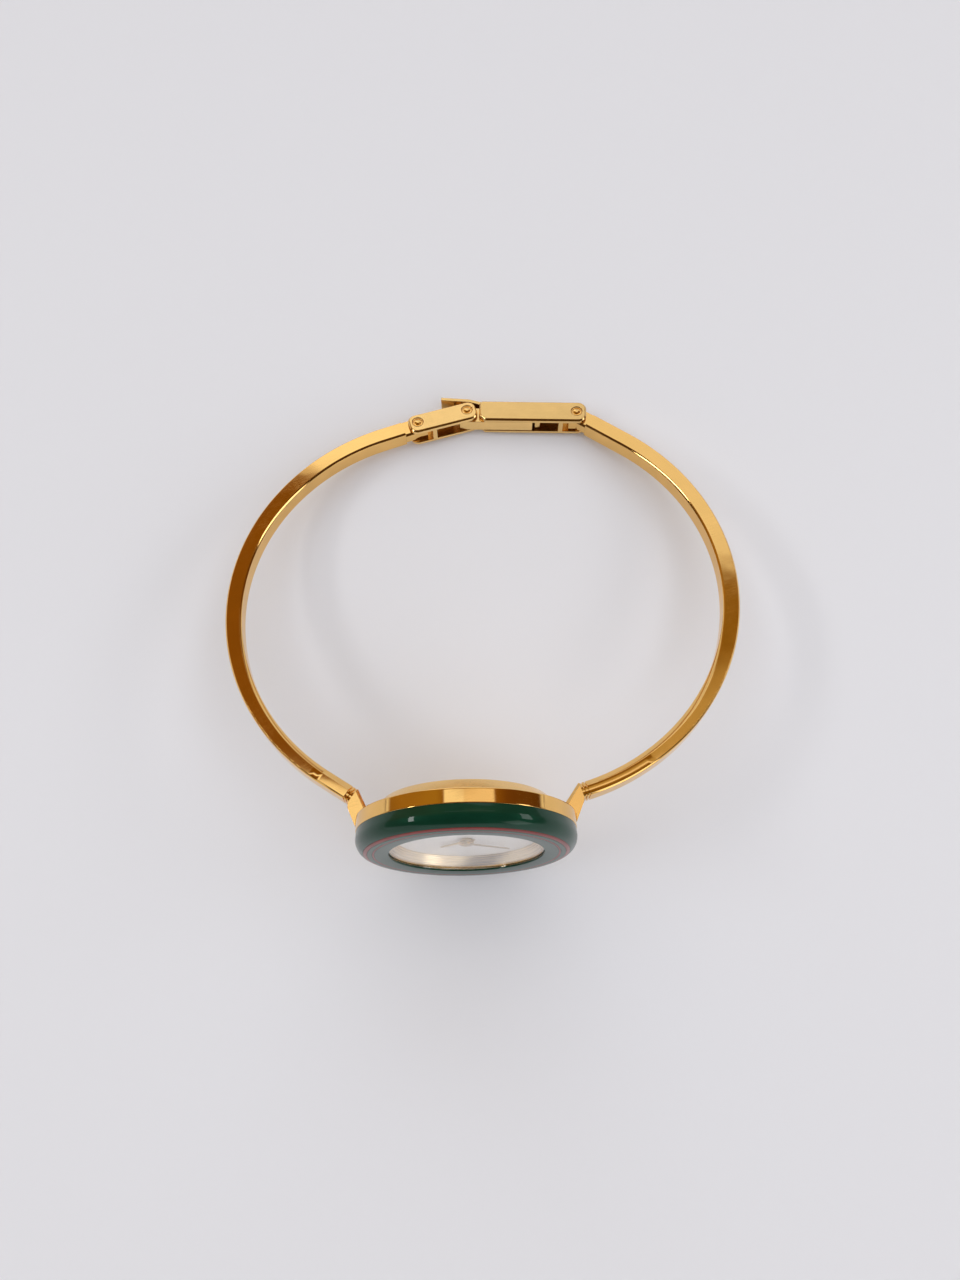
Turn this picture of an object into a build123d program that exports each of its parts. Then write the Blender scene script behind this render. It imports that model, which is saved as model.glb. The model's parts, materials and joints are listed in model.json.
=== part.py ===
from build123d import *

import os
from math import atan2, cos, degrees, radians, sin

# A ladies' bangle watch: a round case with an interchangeable enamelled ring, two stiff
# arms bent round the wrist, and a fold-over clasp. Everything is drawn in a flat frame,
# in millimetres: x across the bangle, y from the dial side to the clasp, z up along the
# bangle's own axis. At the end the watch is tilted to lie on its side, as it rests.

# Case, built round its movement. Heights run from the case's front edge toward the dial
# side, depths run from the same edge toward the wrist
case_wall = 3.2
case_depth = 1.65
case_edge_bevel = 0.12
neck_wall = 0.9
neck_height = 2.17
seat_ledge_thickness = 0.2
seat_ledge_width = 0.65
fit_gap = 0.02

# Enamelled ring and its two inlaid pinstripes, told apart by their widths. Insets run
# inward from the case's side
ring_height = 2.4
ring_lip_reach = 0.55
ring_lip_thickness = 0.2
ring_foot_step = 0.05
ring_shoulder_height = 0.85
ring_crest_inset = 1.6
ring_crest_rise = 0.1
stripe_depth = 0.2
wide_stripe_inset = 1.15
wide_stripe_width = 0.42
narrow_stripe_inset = 2.05
narrow_stripe_width = 0.2

# Crystal, its gasket, the sloping flange and the dial
crystal_thickness = 0.5
gasket_width = 0.3
gasket_height = 0.3
flange_width = 1.4
dial_height = 0.35
dial_thickness = 0.4
dial_hole_gap = 0.13

# Case back
back_rise = 1.87
back_floor = 0.72
back_plug_wall = 0.52
back_plug_height = 0.52
back_rim_width = 1.6
back_rim_thickness = 0.33
back_shoulder_inset = 1.3
back_shoulder_drop = 0.15
back_land_inset = 0.5

# Crown, its tube and the stem, on the side that lies underneath
stem_radius = 0.33
stem_gap = 0.07
stem_inner_end = 3.7
clutch_gap = 0.8
clutch_length = 1.2
clutch_radius = 0.6
clutch_teeth = 12
tube_wall = 0.28
tube_inset = 0.4
tube_reach = 0.45
crown_gap = 0.08
crown_length = 1.32
crown_gasket_width = 0.25
crown_wall = 0.2
crown_flutes = 20
crown_recess_depth = 0.6
crown_cap_height = 0.2
flute_depth = 0.09

# Movement, in layers from the dial back, and in places toward twelve o'clock and the crown
motion_gap = 0.06
motion_module = 0.1
motion_thickness = 0.2
cannon_teeth = 10
minute_wheel_teeth = 30
minute_pinion_teeth = 8
hour_wheel_teeth = 32
minute_wheel_angle = 50
centre_arbor_radius = 0.12
cannon_wall = 0.18
pipe_gap = 0.08
pipe_wall = 0.17
train_gap = 0.08
tooth_module = 0.09
tooth_root_share = 1.3
tooth_tip_share = 0.6
tooth_height_share = 0.8
train_pinion_teeth = 6
centre_wheel_teeth = 30
third_wheel_teeth = 36
third_wheel_angle = -45
intermediate_wheel_teeth = 18
intermediate_angle = -20
rotor_angle = 10
wheel_thickness = 0.12
arbor_radius = 0.1
arbor_gap = 0.04
pivot_reach = 0.1
magnet_radius = 0.5
plate_thickness = 0.5
plate_rim_width = 0.65
plate_edge = 0.1
bridge_thickness = 0.25
bridge_inset = 0.45
stator_thickness = 0.22
stator_width = 1.8
stator_air_gap = 0.15
coil_offset = 1.615
coil_edge = 0.8
coil_length = 4.4
coil_width = 1.2
coil_height = 0.64
coil_shift = 0.4
core_width = 0.8
core_thickness = 0.3
battery_radius = 2.9
battery_angle = 199.25
battery_gap = 0.1
battery_edge = 0.13
battery_clearance = 0.22
strap_width = 1.6
strap_thickness = 0.08
board_thickness = 0.17
can_radius = 0.5
can_length = 3.6
can_inset = 2.4
can_shift = 2.8
holder_width = 1.65
holder_gap = 0.05
holder_foot = 0.15
lever_length = 2.4
lever_width = 0.9
lever_thickness = 0.25

# Hands, whose angles run from the x axis toward the underside of the watch
hour_hand_length = 3.8
minute_hand_length = 5.6
hand_width = 0.42
hand_tip_width = 0.16
hand_thickness = 0.12
hand_tail_length = 1.2
hour_hand_angle = 142.3
minute_hand_angle = 29.5
hour_hand_lift = 0.31
hand_pitch = 0.24
hour_hub_width = 0.25
minute_hub_width = 0.55
hub_cap_overlap = 0.35
hub_cap_height = 0.1

# Arms: the middle line starts at its root outside the case, runs straight from the lug,
# bends in one arc, and ends at a pin
arm_width = 2.4
arm_thickness = 2.3
arm_root_thickness = 1.85
arm_outer_bevel = 0.2
arm_inner_bevel = 0.6
right_root_reach = 0.76
right_root_depth = 4.43
right_heading = 16.4
right_run = 0.72
right_bend_radius = 27.84
right_bend_angle = 127.05
right_end_run = 7.86
left_root_reach = 0.36
left_root_depth = 4.46
left_heading = 146.4
left_run = 4.34
left_bend_radius = 27.39
left_bend_angle = 126.5
left_end_run = 5.25
groove_width = 0.16
groove_depth = 0.15
groove_pitch = 0.4
eye_width = 1.7
shoulder_gap = 0.5
heel_reach = 1.05
heel_rise = 0.3
right_heel_drop = 1.38
left_heel_drop = 1.15

# Lugs, the short end pieces that carry the arms on the edge of the case
lug_knee_reach = 1.0
lug_knee_depth = 3.1
lug_foot_depth = 0.75
lug_back_gap = 0.2
lug_inner_drop = 0.5
lug_bevel = 0.35
lug_knee_round = 1.0

# Fold-over clasp
pin_radius = 0.5
pin_hole_gap = 0.04
pin_head_radius = 0.72
pin_head_depth = 0.2
pin_ring_gap = 0.06
pin_dome = 0.05
pin_dome_taper = 60
plate_wall = 0.6
channel_gap = 0.05
link_length = 7.1
link_lift = 12.6
link_outer_half = 1.4
link_inner_half = 1.65
link_reach = 1.3
link_corner = 1.1
cover_half = 1.67
cover_reach = 1.35
cover_corner = 1.15
cover_end_gap = 0.4
cover_end_bevel = 0.8
clasp_web = 0.5
web_relief = 2.0
link_web_relief = 1.75
bar_start = 1.87
bar_width = 0.6
bar_depth = 0.6
link_bar_start = 1.7
edge_bevel = 0.22
leaf_outer = 0.8
leaf_inner = 1.6
leaf_wall = 0.35
knuckle_radius = 1.3
knuckle_heel = 1.0
claw_reach = 5.9
claw_gap = 0.2
claw_root = 4.5
claw_tip_width = 0.7
claw_depth = 1.3
claw_width = 1.5
tab_length = 5.4
tab_width = 2.4
tab_thickness = 0.5
tab_lift = 0.42
tab_end_lift = 0.65
tab_step = 1.5

# One overrun for every cut that runs past a face
overrun = 1.0


def step_from(place, distance, angle):
    """The place at a distance and an angle from another, in a dial plane."""
    return (place[0] + distance * cos(radians(angle)), place[1] + distance * sin(radians(angle)))


# Places of the wheels, from their teeth
centre = (0, 0)
motion_distance = motion_module * (cannon_teeth + minute_wheel_teeth) / 2
third_distance = tooth_module * (centre_wheel_teeth + train_pinion_teeth) / 2
intermediate_distance = tooth_module * (third_wheel_teeth + train_pinion_teeth) / 2
rotor_distance = tooth_module * (intermediate_wheel_teeth + train_pinion_teeth) / 2
minute_wheel_place = step_from(centre, motion_distance, minute_wheel_angle)
third_place = step_from(centre, third_distance, third_wheel_angle)
intermediate_place = step_from(third_place, intermediate_distance, intermediate_angle)
rotor_place = step_from(intermediate_place, rotor_distance, rotor_angle)

# Radii that follow, from the movement out to the case
centre_wheel_tip = tooth_module * (centre_wheel_teeth / 2 + tooth_height_share)
battery_hole_radius = battery_radius + battery_gap
battery_distance = centre_wheel_tip + battery_edge + battery_hole_radius
battery_place = step_from(centre, battery_distance, battery_angle)
coil_place = rotor_place[0] + coil_offset
coil_side_radius = coil_place + coil_width / 2 + coil_edge + plate_rim_width
battery_side_radius = battery_distance + battery_hole_radius + plate_edge
plate_radius = max(coil_side_radius, battery_side_radius)
bridge_radius = plate_radius - bridge_inset
can_place = (-can_shift, plate_radius - plate_rim_width - can_inset)
stator_hole_radius = magnet_radius + stator_air_gap
case_bore_radius = plate_radius + holder_width
case_radius = case_bore_radius + case_wall
neck_radius = case_bore_radius + neck_wall
seat_ledge_radius = case_bore_radius - seat_ledge_width
crystal_radius = case_bore_radius - gasket_width
flange_inner_radius = case_bore_radius - flange_width
ring_opening_radius = case_bore_radius - ring_lip_reach
ring_foot_radius = case_radius - ring_foot_step
ring_crest_radius = case_radius - ring_crest_inset
wide_stripe_radius = case_radius - wide_stripe_inset
narrow_stripe_radius = case_radius - narrow_stripe_inset
back_rim_radius = case_bore_radius + back_rim_width
back_shoulder_radius = back_rim_radius - back_shoulder_inset
back_land_radius = back_shoulder_radius - back_land_inset
hour_pipe_bore = centre_arbor_radius + cannon_wall + pipe_gap
hour_pipe_radius = hour_pipe_bore + pipe_wall
cannon_radius = centre_arbor_radius + cannon_wall
dial_hole_radius = hour_pipe_radius + dial_hole_gap

# Layers that follow, as depths from the case's front edge
neck_front = -neck_height
crystal_seat_depth = neck_front + crystal_thickness
ring_front = -ring_height
ring_shoulder_depth = -ring_shoulder_height
ring_crest_depth = ring_front - ring_crest_rise
dial_front = -dial_height
dial_back = dial_front + dial_thickness
hour_hand_front = dial_front - hour_hand_lift
minute_hand_front = hour_hand_front - hand_pitch
hour_wheel_front = dial_back + motion_gap
minute_wheel_front = hour_wheel_front + motion_thickness + 2 * motion_gap
plate_front = minute_wheel_front + motion_thickness + motion_gap
plate_back = plate_front + plate_thickness
centre_level = plate_back + train_gap
intermediate_level = centre_level + wheel_thickness + train_gap
third_level = intermediate_level + wheel_thickness + train_gap
pinion_thickness = wheel_thickness + train_gap / 2
bridge_front = third_level + wheel_thickness + 2 * train_gap
board_front = bridge_front + bridge_thickness + 2 * fit_gap
back_depth = case_depth + back_rise
back_inner_depth = back_depth - back_floor
back_shoulder_depth = back_depth - back_shoulder_drop
back_plug_depth = case_depth - back_plug_height
battery_front = minute_wheel_front
battery_thickness = back_inner_depth - battery_front - battery_clearance
holder_step_depth = back_plug_depth - holder_gap
holder_back = back_inner_depth - holder_foot

# Crown side that follows
stem_depth = case_depth / 2
clutch_start = stem_inner_end + clutch_gap
tube_bore_radius = stem_radius + stem_gap
tube_radius = tube_bore_radius + tube_wall
tube_inner_end = case_bore_radius + tube_inset
tube_outer_end = case_radius + tube_reach
crown_start = case_radius + crown_gap
crown_recess_radius = tube_radius + crown_gasket_width
crown_radius = crown_recess_radius + crown_wall
crown_tip = crown_start + crown_length

# Lugs, arms and clasp that follow
right_root = (case_radius + right_root_reach, right_root_depth)
left_root = (-case_radius - left_root_reach, left_root_depth)
lug_knee_radius = case_radius + lug_knee_reach
lug_inner_radius = back_rim_radius + lug_back_gap
lug_inner_depth = lug_knee_depth - lug_inner_drop
channel_half_width = eye_width / 2 + channel_gap
cover_half_width = channel_half_width + plate_wall
shoulder_reach = cover_half + shoulder_gap
pin_hole_radius = pin_radius + pin_hole_gap


def toward(angle):
    """A unit vector in the flat frame at an angle in degrees from the x axis."""
    return Vector(cos(radians(angle)), sin(radians(angle)), 0)


def dial_plane(depth):
    """A plane across the case, with x toward twelve o'clock and y toward the crown."""
    return Plane(origin=(0, depth, 0), x_dir=(1, 0, 0), z_dir=(0, 1, 0))


class ArmRoute:
    """The middle line of one arm, and the points and directions that other pieces share."""

    def __init__(self, root, heading, run, bend_radius, bend_angle, end_run):
        self.root = Vector(*root)
        self.start = toward(heading)
        self.end = toward(heading + bend_angle)
        with BuildLine() as run_line:
            Line(self.root, self.root + self.start * run)
        with BuildLine() as bend_line:
            bend = JernArc(self.root + self.start * run, self.start, bend_radius, bend_angle)
        self.run_end = self.root + self.start * run
        self.bend_end = bend @ 1
        self.pin = self.bend_end + self.end * end_run
        self.run_line = run_line.line
        self.bend_line = bend_line.line
        self.inward = 1 if bend_angle > 0 else -1
        self.inner_normal = self.start.rotate(Axis.Z, 90 * self.inward)


right_route = ArmRoute(
    right_root, right_heading, right_run, right_bend_radius, right_bend_angle, right_end_run
)
left_route = ArmRoute(
    left_root, left_heading, left_run, left_bend_radius, -left_bend_angle, left_end_run
)

# The clasp's own planes: the link's starts at the left pin, the cover's at the middle pin,
# and both have x toward the right pin's side and y away from the wrist
span = right_route.pin - left_route.pin
link_heading = degrees(atan2(span.Y, span.X)) + link_lift
middle_pin = left_route.pin + toward(link_heading) * link_length
cover_span = right_route.pin - middle_pin
cover_heading = degrees(atan2(cover_span.Y, cover_span.X))
cover_length = cover_span.length
link_plane = Plane(origin=left_route.pin, x_dir=toward(link_heading), z_dir=(0, 0, 1))
cover_plane = Plane(origin=middle_pin, x_dir=toward(cover_heading), z_dir=(0, 0, 1))


def ring_profile():
    """Half section of the enamelled ring, with x as radius and y as depth."""
    bore = neck_radius + fit_gap
    with BuildSketch() as profile:
        with BuildLine():
            foot = Line((bore, 0), (ring_foot_radius, 0))
            side = Line(foot @ 1, (case_radius, ring_shoulder_depth))
            crest = TangentArc(side @ 1, (ring_crest_radius, ring_crest_depth), tangent=(0, -1))
            top = TangentArc(crest @ 1, (ring_opening_radius, ring_front), tangent=crest % 1)
            lip = Line(top @ 1, (ring_opening_radius, ring_front + ring_lip_thickness))
            under = Line(lip @ 1, (bore, ring_front + ring_lip_thickness))
            Line(under @ 1, foot @ 0)
        make_face()
    return profile.sketch


def stripe_floor(radius):
    """The depth of a stripe groove's floor, below the ring's surface at that radius."""
    drop = (radius - ring_crest_radius) / (case_radius - ring_crest_radius)
    fall = (ring_shoulder_depth - ring_crest_depth) * (1 - (1 - max(drop, 0) ** 2) ** 0.5)
    return ring_crest_depth + fall + stripe_depth


def make_ring():
    with BuildPart() as bezel_ring:
        with BuildSketch():
            add(ring_profile())
            for radius, width in (
                (wide_stripe_radius, wide_stripe_width),
                (narrow_stripe_radius, narrow_stripe_width),
            ):
                floor = stripe_floor(radius) + fit_gap
                with Locations((radius, floor)):
                    Rectangle(
                        width + 2 * fit_gap,
                        floor - ring_front + overrun,
                        align=(Align.CENTER, Align.MAX),
                        mode=Mode.SUBTRACT,
                    )
        revolve(axis=Axis.Y)
    return bezel_ring


def make_stripe(radius, width):
    with BuildPart() as stripe:
        with BuildSketch():
            add(ring_profile())
            floor = stripe_floor(radius)
            with Locations((radius, floor)):
                Rectangle(
                    width,
                    floor - ring_front + overrun,
                    align=(Align.CENTER, Align.MAX),
                    mode=Mode.INTERSECT,
                )
        revolve(axis=Axis.Y)
    return stripe


def revolve_band(inner, outer, front, back):
    """A plain ring or disc round the y axis."""
    with BuildPart() as band:
        with BuildSketch(dial_plane(front)):
            Circle(outer)
            if inner > 0:
                Circle(inner, mode=Mode.SUBTRACT)
        extrude(amount=back - front)
    return band


def make_case_middle():
    ledge_back = crystal_seat_depth + seat_ledge_thickness
    with BuildPart() as case_middle:
        with BuildSketch():
            with BuildLine():
                Polyline(
                    (case_bore_radius, neck_front),
                    (neck_radius, neck_front),
                    (neck_radius, 0),
                    (case_radius, 0),
                    (case_radius, case_depth - case_edge_bevel),
                    (case_radius - case_edge_bevel, case_depth),
                    (case_bore_radius, case_depth),
                    (case_bore_radius, ledge_back),
                    (seat_ledge_radius, ledge_back),
                    (seat_ledge_radius, crystal_seat_depth),
                    (case_bore_radius, crystal_seat_depth),
                    close=True,
                )
            make_face()
        revolve(axis=Axis.Y)
        # Corner notch for the case back's gasket
        with BuildSketch(dial_plane(case_depth)):
            Circle(case_bore_radius + gasket_width + fit_gap)
        extrude(amount=-gasket_height - fit_gap, mode=Mode.SUBTRACT)
        # Hole for the crown tube, stepped to the stem
        with BuildSketch(Plane.XY.offset(-tube_inner_end + fit_gap)):
            with Locations((0, stem_depth)):
                Circle(tube_radius + fit_gap)
        extrude(amount=-case_radius, mode=Mode.SUBTRACT)
        with BuildSketch(Plane.XY):
            with Locations((0, stem_depth)):
                Circle(tube_bore_radius)
        extrude(amount=-case_radius - overrun, mode=Mode.SUBTRACT)
    return case_middle


def make_case_back():
    plug_radius = case_bore_radius - fit_gap
    with BuildPart() as case_back:
        with BuildSketch():
            with BuildLine():
                Polyline(
                    (0, back_inner_depth),
                    (plug_radius - back_plug_wall, back_inner_depth),
                    (plug_radius - back_plug_wall, back_plug_depth),
                    (plug_radius, back_plug_depth),
                    (plug_radius, case_depth + fit_gap),
                    (back_rim_radius, case_depth + fit_gap),
                    (back_rim_radius, case_depth + back_rim_thickness),
                    (back_shoulder_radius, back_shoulder_depth),
                    (back_land_radius, back_depth),
                    (0, back_depth),
                    close=True,
                )
            make_face()
        revolve(axis=Axis.Y)
    return case_back


def make_flange():
    """The sloping ring between crystal and dial."""
    front = crystal_seat_depth + seat_ledge_thickness + fit_gap
    back = dial_front - fit_gap
    outer = case_bore_radius - fit_gap
    with BuildPart() as dial_flange:
        with BuildSketch():
            with BuildLine():
                Polyline(
                    (seat_ledge_radius, front),
                    (outer, front),
                    (outer, back),
                    (flange_inner_radius, back),
                    close=True,
                )
            make_face()
        revolve(axis=Axis.Y)
    return dial_flange


def toothed_outline(teeth, module):
    """A wheel face with slim straight-sided teeth, for use inside a sketch."""
    pitch_radius = module * teeth / 2
    root_radius = pitch_radius - module
    tip_radius = pitch_radius + module * tooth_height_share
    root_half = module * tooth_root_share / 2
    tip_half = module * tooth_tip_share / 2
    RegularPolygon(root_radius, teeth)
    with PolarLocations(root_radius, teeth):
        Polygon(
            (-root_half, -root_half),
            (-root_half, root_half),
            (0, root_half),
            (tip_radius - root_radius, tip_half),
            (tip_radius - root_radius, -tip_half),
            (0, -root_half),
            align=None,
        )


def make_hour_wheel():
    with BuildPart() as hour_wheel:
        with BuildSketch(dial_plane(hour_wheel_front)):
            toothed_outline(hour_wheel_teeth, motion_module)
        extrude(amount=motion_thickness)
        with BuildSketch(dial_plane(hour_hand_front)):
            Circle(hour_pipe_radius)
        extrude(amount=hour_wheel_front - hour_hand_front)
        with BuildSketch(dial_plane(hour_hand_front)):
            Circle(hour_pipe_bore)
        extrude(amount=case_depth, mode=Mode.SUBTRACT)
    return hour_wheel


def make_minute_wheel():
    with BuildPart() as minute_wheel:
        with BuildSketch(dial_plane(minute_wheel_front)):
            with Locations(minute_wheel_place):
                toothed_outline(minute_wheel_teeth, motion_module)
        extrude(amount=motion_thickness)
        with BuildSketch(dial_plane(hour_wheel_front)):
            with Locations(minute_wheel_place):
                toothed_outline(minute_pinion_teeth, motion_module)
        extrude(amount=minute_wheel_front - hour_wheel_front)
        with BuildSketch(dial_plane(hour_wheel_front)):
            with Locations(minute_wheel_place):
                Circle(arbor_radius + arbor_gap)
        extrude(amount=case_depth, mode=Mode.SUBTRACT)
    return minute_wheel


def make_cannon_pinion():
    with BuildPart() as cannon_pinion:
        with BuildSketch(dial_plane(minute_hand_front)):
            Circle(cannon_radius)
        extrude(amount=minute_wheel_front + motion_thickness - minute_hand_front)
        with BuildSketch(dial_plane(minute_wheel_front)):
            toothed_outline(cannon_teeth, motion_module)
        extrude(amount=motion_thickness)
        with BuildSketch(dial_plane(minute_hand_front)):
            Circle(centre_arbor_radius + fit_gap)
        extrude(amount=case_depth, mode=Mode.SUBTRACT)
    return cannon_pinion


def make_train_wheel(place, wheel_teeth, wheel_level, pinion_level, thickness):
    """A wheel and its pinion on one arbor, between the plate and the bridge."""
    low = plate_back - pivot_reach
    high = bridge_front + pivot_reach
    with BuildPart() as train_wheel:
        with BuildSketch(dial_plane(low)):
            with Locations(place):
                Circle(arbor_radius)
        extrude(amount=high - low)
        with BuildSketch(dial_plane(wheel_level)):
            with Locations(place):
                toothed_outline(wheel_teeth, tooth_module)
        extrude(amount=wheel_thickness)
        with BuildSketch(dial_plane(pinion_level)):
            with Locations(place):
                toothed_outline(train_pinion_teeth, tooth_module)
        extrude(amount=thickness)
    return train_wheel


def make_centre_wheel():
    """The wheel whose long arbor carries the cannon pinion by friction."""
    with BuildPart() as centre_wheel:
        with BuildSketch(dial_plane(minute_hand_front)):
            Circle(centre_arbor_radius)
        extrude(amount=third_level - fit_gap - minute_hand_front - pivot_reach)
        with BuildSketch(dial_plane(centre_level)):
            toothed_outline(centre_wheel_teeth, tooth_module)
        extrude(amount=wheel_thickness)
    return centre_wheel


def make_rotor():
    low = plate_back - pivot_reach
    with BuildPart() as rotor:
        with BuildSketch(dial_plane(low)):
            with Locations(rotor_place):
                Circle(arbor_radius)
        extrude(amount=bridge_front + pivot_reach - low)
        with BuildSketch(dial_plane(centre_level)):
            with Locations(rotor_place):
                Circle(magnet_radius)
        extrude(amount=wheel_thickness)
        with BuildSketch(dial_plane(intermediate_level)):
            with Locations(rotor_place):
                toothed_outline(train_pinion_teeth, tooth_module)
        extrude(amount=pinion_thickness)
    return rotor


def make_main_plate():
    """The plate with its rim, battery hole, pivot holes, stem slot and minute wheel stud."""
    with BuildPart() as main_plate:
        with BuildSketch(dial_plane(plate_front)):
            Circle(plate_radius)
        extrude(amount=plate_thickness)
        with BuildSketch(dial_plane(plate_back)):
            Circle(plate_radius)
            Circle(plate_radius - plate_rim_width, mode=Mode.SUBTRACT)
        extrude(amount=bridge_front - plate_back)
        with BuildSketch(dial_plane(plate_front)):
            with Locations(battery_place):
                Circle(battery_hole_radius)
            with Locations(third_place, intermediate_place, rotor_place):
                Circle(arbor_radius + arbor_gap)
            Circle(centre_arbor_radius + arbor_gap)
        extrude(amount=case_depth, mode=Mode.SUBTRACT)
        with BuildSketch(dial_plane(plate_front)):
            with Locations((0, stem_inner_end - lever_width)):
                slot_width = 2 * (clutch_radius + lever_width)
                Rectangle(slot_width, plate_radius, align=(Align.CENTER, Align.MIN))
        extrude(amount=case_depth, mode=Mode.SUBTRACT)
        # Floor of the can's bed
        with BuildSketch(dial_plane(board_front - 2 * can_radius - 2 * fit_gap)):
            with Locations(can_place):
                Rectangle(can_length + 2 * fit_gap, 2 * can_radius + 2 * fit_gap)
        extrude(amount=2 * can_radius, mode=Mode.SUBTRACT)
        with BuildSketch(dial_plane(hour_wheel_front)):
            with Locations(minute_wheel_place):
                Circle(arbor_radius)
        extrude(amount=plate_front - hour_wheel_front)
    return main_plate


def make_train_bridge():
    with BuildPart() as train_bridge:
        with BuildSketch(dial_plane(bridge_front + fit_gap)):
            Circle(bridge_radius)
            with Locations(battery_place):
                Circle(battery_hole_radius, mode=Mode.SUBTRACT)
            with Locations((coil_place - coil_width, 0)):
                Rectangle(
                    plate_radius,
                    2 * plate_radius,
                    align=(Align.MIN, Align.CENTER),
                    mode=Mode.SUBTRACT,
                )
            with Locations((0, clutch_radius + motion_distance)):
                Rectangle(
                    2 * plate_radius,
                    plate_radius,
                    align=(Align.CENTER, Align.MIN),
                    mode=Mode.SUBTRACT,
                )
            with Locations(third_place, intermediate_place, rotor_place):
                Circle(arbor_radius + arbor_gap, mode=Mode.SUBTRACT)
        extrude(amount=bridge_thickness)
    return train_bridge


def make_stator():
    """The soft iron yoke, whose two feet carry the coil's core."""
    foot_length = coil_place + core_width / 2 - rotor_place[0]
    with BuildPart() as stator:
        with BuildSketch(dial_plane(plate_back)):
            with Locations((rotor_place[0], -coil_shift)):
                Rectangle(stator_width, coil_length + 2 * core_width)
            for end in (-1, 1):
                with Locations((rotor_place[0], -coil_shift + end * (coil_length + core_width) / 2)):
                    Rectangle(foot_length, core_width, align=(Align.MIN, Align.CENTER))
            with Locations(rotor_place):
                Circle(stator_hole_radius, mode=Mode.SUBTRACT)
        extrude(amount=stator_thickness)
    return stator


def make_coil_core():
    with BuildPart() as coil_core:
        with BuildSketch(dial_plane(plate_back + stator_thickness)):
            with Locations((coil_place, -coil_shift)):
                Rectangle(core_width, coil_length + 2 * core_width)
        extrude(amount=core_thickness)
    return coil_core


def make_coil():
    """The winding, a rounded block round the core."""
    core_front = plate_back + stator_thickness
    with BuildPart() as coil:
        with BuildSketch(Plane.XY.offset(coil_shift)):
            with Locations((coil_place, core_front + core_thickness / 2)):
                RectangleRounded(coil_width, coil_height, coil_height / 3)
                Rectangle(core_width + fit_gap, core_thickness + fit_gap, mode=Mode.SUBTRACT)
        extrude(amount=(coil_length - fit_gap) / 2, both=True)
    return coil


def make_battery():
    """A button cell with the stepped edge of its sealed cap."""
    with BuildPart() as battery:
        with BuildSketch(dial_plane(battery_front)):
            with Locations(battery_place):
                Circle(battery_radius - battery_gap)
        extrude(amount=battery_thickness - 2 * battery_gap)
        with BuildSketch(dial_plane(battery_front + 2 * battery_gap)):
            with Locations(battery_place):
                Circle(battery_radius)
        extrude(amount=battery_thickness - 2 * battery_gap)
    return battery


def make_battery_strap():
    """The thin spring contact over the cell, which reaches over the circuit board."""
    strap_front = battery_front + battery_thickness + fit_gap
    with BuildPart() as battery_strap:
        with BuildSketch(dial_plane(strap_front)):
            with Locations(battery_place):
                Rectangle(
                    battery_radius + strap_width,
                    strap_width,
                    align=(Align.MIN, Align.CENTER),
                )
                Circle(strap_width)
        extrude(amount=strap_thickness)
    return battery_strap


def make_circuit_board():
    with BuildPart() as circuit_board:
        with BuildSketch(dial_plane(board_front)):
            Circle(bridge_radius)
            with Locations(battery_place):
                Circle(battery_hole_radius + battery_gap, mode=Mode.SUBTRACT)
        extrude(amount=board_thickness)
    return circuit_board


def make_quartz_can():
    with BuildPart() as quartz_can:
        can_depth = board_front - can_radius - fit_gap
        with BuildSketch(Plane.YZ.offset(can_place[0] - can_length / 2)):
            with Locations((can_depth, -can_place[1])):
                Circle(can_radius)
        extrude(amount=can_length)
    return quartz_can


def make_holder():
    """The moulded ring that centres the movement in the case."""
    inner = plate_radius + holder_gap
    step_radius = case_bore_radius - fit_gap - back_plug_wall - holder_gap
    with BuildPart() as movement_holder:
        with BuildSketch(dial_plane(dial_back + fit_gap)):
            Circle(case_bore_radius - holder_gap)
            Circle(inner, mode=Mode.SUBTRACT)
        extrude(amount=holder_step_depth - dial_back - fit_gap)
        with BuildSketch(dial_plane(holder_step_depth)):
            Circle(step_radius)
            Circle(inner, mode=Mode.SUBTRACT)
        extrude(amount=holder_back - holder_step_depth)
        with BuildSketch(Plane.XY):
            with Locations((0, stem_depth)):
                Circle(tube_bore_radius)
        extrude(amount=-case_radius, mode=Mode.SUBTRACT)
    return movement_holder


def make_stem():
    with BuildPart() as stem:
        with BuildSketch(Plane.XY.offset(-stem_inner_end)):
            with Locations((0, stem_depth)):
                Circle(stem_radius)
        extrude(amount=stem_inner_end - crown_start - crown_recess_depth + fit_gap)
        # Neck that the setting lever works in
        with BuildSketch(Plane.XY.offset(-stem_inner_end - arbor_radius)):
            with Locations((0, stem_depth)):
                Circle(stem_radius)
                Circle(stem_radius - arbor_radius, mode=Mode.SUBTRACT)
        extrude(amount=-lever_thickness - 2 * fit_gap, mode=Mode.SUBTRACT)
    return stem


def make_setting_lever():
    """A forked plate in the stem's neck, which slides with the stem but doesn't turn."""
    with BuildPart() as setting_lever:
        with BuildSketch(Plane.XY.offset(-stem_inner_end - arbor_radius - fit_gap)):
            with Locations((0, stem_depth)):
                Rectangle(lever_length, lever_width)
                Circle(stem_radius - arbor_radius + fit_gap, mode=Mode.SUBTRACT)
        extrude(amount=-lever_thickness)
    return setting_lever


def make_clutch():
    with BuildPart() as clutch_pinion:
        with BuildSketch(Plane.XY.offset(-clutch_start)):
            with Locations((0, stem_depth)):
                toothed_outline(clutch_teeth, 2 * clutch_radius / (clutch_teeth + 2))
                Circle(stem_radius + fit_gap, mode=Mode.SUBTRACT)
        extrude(amount=-clutch_length)
    return clutch_pinion


def make_crown_tube():
    with BuildPart() as crown_tube:
        with BuildSketch(Plane.XY.offset(-tube_inner_end)):
            with Locations((0, stem_depth)):
                Circle(tube_radius)
                Circle(tube_bore_radius, mode=Mode.SUBTRACT)
        extrude(amount=tube_inner_end - tube_outer_end)
    return crown_tube


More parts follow.
